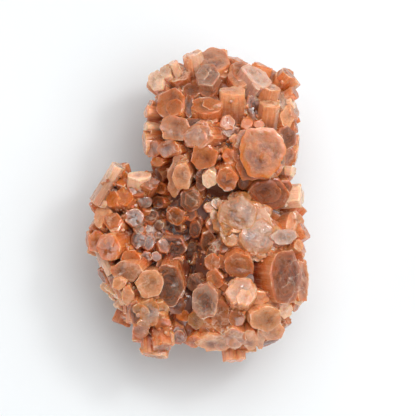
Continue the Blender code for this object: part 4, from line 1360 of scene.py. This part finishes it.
def soft_light(name, power, size, place, target):
    """A square softbox aimed at a point."""
    light = bpy.data.lights.new(name, "AREA")
    light.energy = power
    light.size = size
    lamp = bpy.data.objects.new(name, light)
    lamp.location = place
    lamp.rotation_euler = (Vector(place) - Vector(target)).to_track_quat("Z", "Y").to_euler()
    bpy.context.scene.collection.objects.link(lamp)
    return lamp


class ARAGONITE_OT_stage(bpy.types.Operator):
    """Lay the pale floor, hang the soft lights and set the camera straight above."""

    bl_idname = "aragonite.stage"
    bl_label = "Set stage"

    def execute(self, context):
        scene = context.scene
        settings = scene.aragonite_stage
        colours = scene.aragonite_colours
        bpy.ops.object.select_all(action="DESELECT")
        bpy.ops.mesh.primitive_plane_add(size=FLOOR_SIZE, location=(0.0, 0.0, -FLOOR_DROP))
        floor = bpy.context.object
        floor.name = "floor"
        paper = bpy.data.materials.new("matt_paper")
        paper.use_nodes = True
        shader = paper.node_tree.nodes["Principled BSDF"]
        shader.inputs["Base Color"].default_value = (*colours.floor, 1.0)
        shader.inputs["Roughness"].default_value = 0.9
        floor.data.materials.append(paper)

        world = bpy.data.worlds.new("studio")
        scene.world = world
        world.use_nodes = True
        world.node_tree.nodes["Background"].inputs["Color"].default_value = (1.0, 1.0, 1.0, 1.0)
        world.node_tree.nodes["Background"].inputs["Strength"].default_value = settings.sky
        for name, setting, share, size, place in LIGHTS:
            soft_light(name, share * getattr(settings, setting), size, place, MIDDLE)

        lens = bpy.data.cameras.new("camera")
        lens.sensor_width = SENSOR
        lens.lens = lens.sensor_width * (settings.distance - MIDDLE[2]) / settings.field
        camera = bpy.data.objects.new("camera", lens)
        pixel = settings.field / PHOTO_WIDTH
        camera.location = (OFF_MIDDLE[0] * pixel, OFF_MIDDLE[1] * pixel, settings.distance)
        scene.collection.objects.link(camera)
        scene.camera = camera
        scene.view_settings.view_transform = "Standard"
        return {"FINISHED"}


class ARAGONITE_PT_panel(bpy.types.Panel):
    """Lists the steps and their settings."""

    bl_label = "Aragonite cluster"
    bl_space_type = "VIEW_3D"
    bl_region_type = "UI"
    bl_category = "Aragonite"

    def draw(self, context):
        layout = self.layout
        scene = context.scene
        for group in (scene.aragonite_sizes, scene.aragonite_colours, scene.aragonite_stage):
            for name in group.__annotations__:
                layout.prop(group, name)
        layout.operator("aragonite.stage")
        layout.operator("aragonite.cluster")
        layout.operator("aragonite.druse")


CLASSES = (
    ARAGONITE_PG_sizes,
    ARAGONITE_PG_colours,
    ARAGONITE_PG_stage,
    ARAGONITE_OT_cluster,
    ARAGONITE_OT_druse,
    ARAGONITE_OT_stage,
    ARAGONITE_PT_panel,
)


def register():
    """Add the classes and their settings to Blender."""
    for cls in CLASSES:
        bpy.utils.register_class(cls)
    bpy.types.Scene.aragonite_sizes = PointerProperty(type=ARAGONITE_PG_sizes)
    bpy.types.Scene.aragonite_colours = PointerProperty(type=ARAGONITE_PG_colours)
    bpy.types.Scene.aragonite_stage = PointerProperty(type=ARAGONITE_PG_stage)


def unregister():
    """Take the classes and their settings away again."""
    del bpy.types.Scene.aragonite_stage
    del bpy.types.Scene.aragonite_colours
    del bpy.types.Scene.aragonite_sizes
    for cls in reversed(CLASSES):
        bpy.utils.unregister_class(cls)


def main():
    """Build the stage and the cluster."""
    register()
    bpy.ops.aragonite.stage()
    bpy.ops.aragonite.cluster()
    bpy.ops.aragonite.druse()


if __name__ == "__main__":
    main()
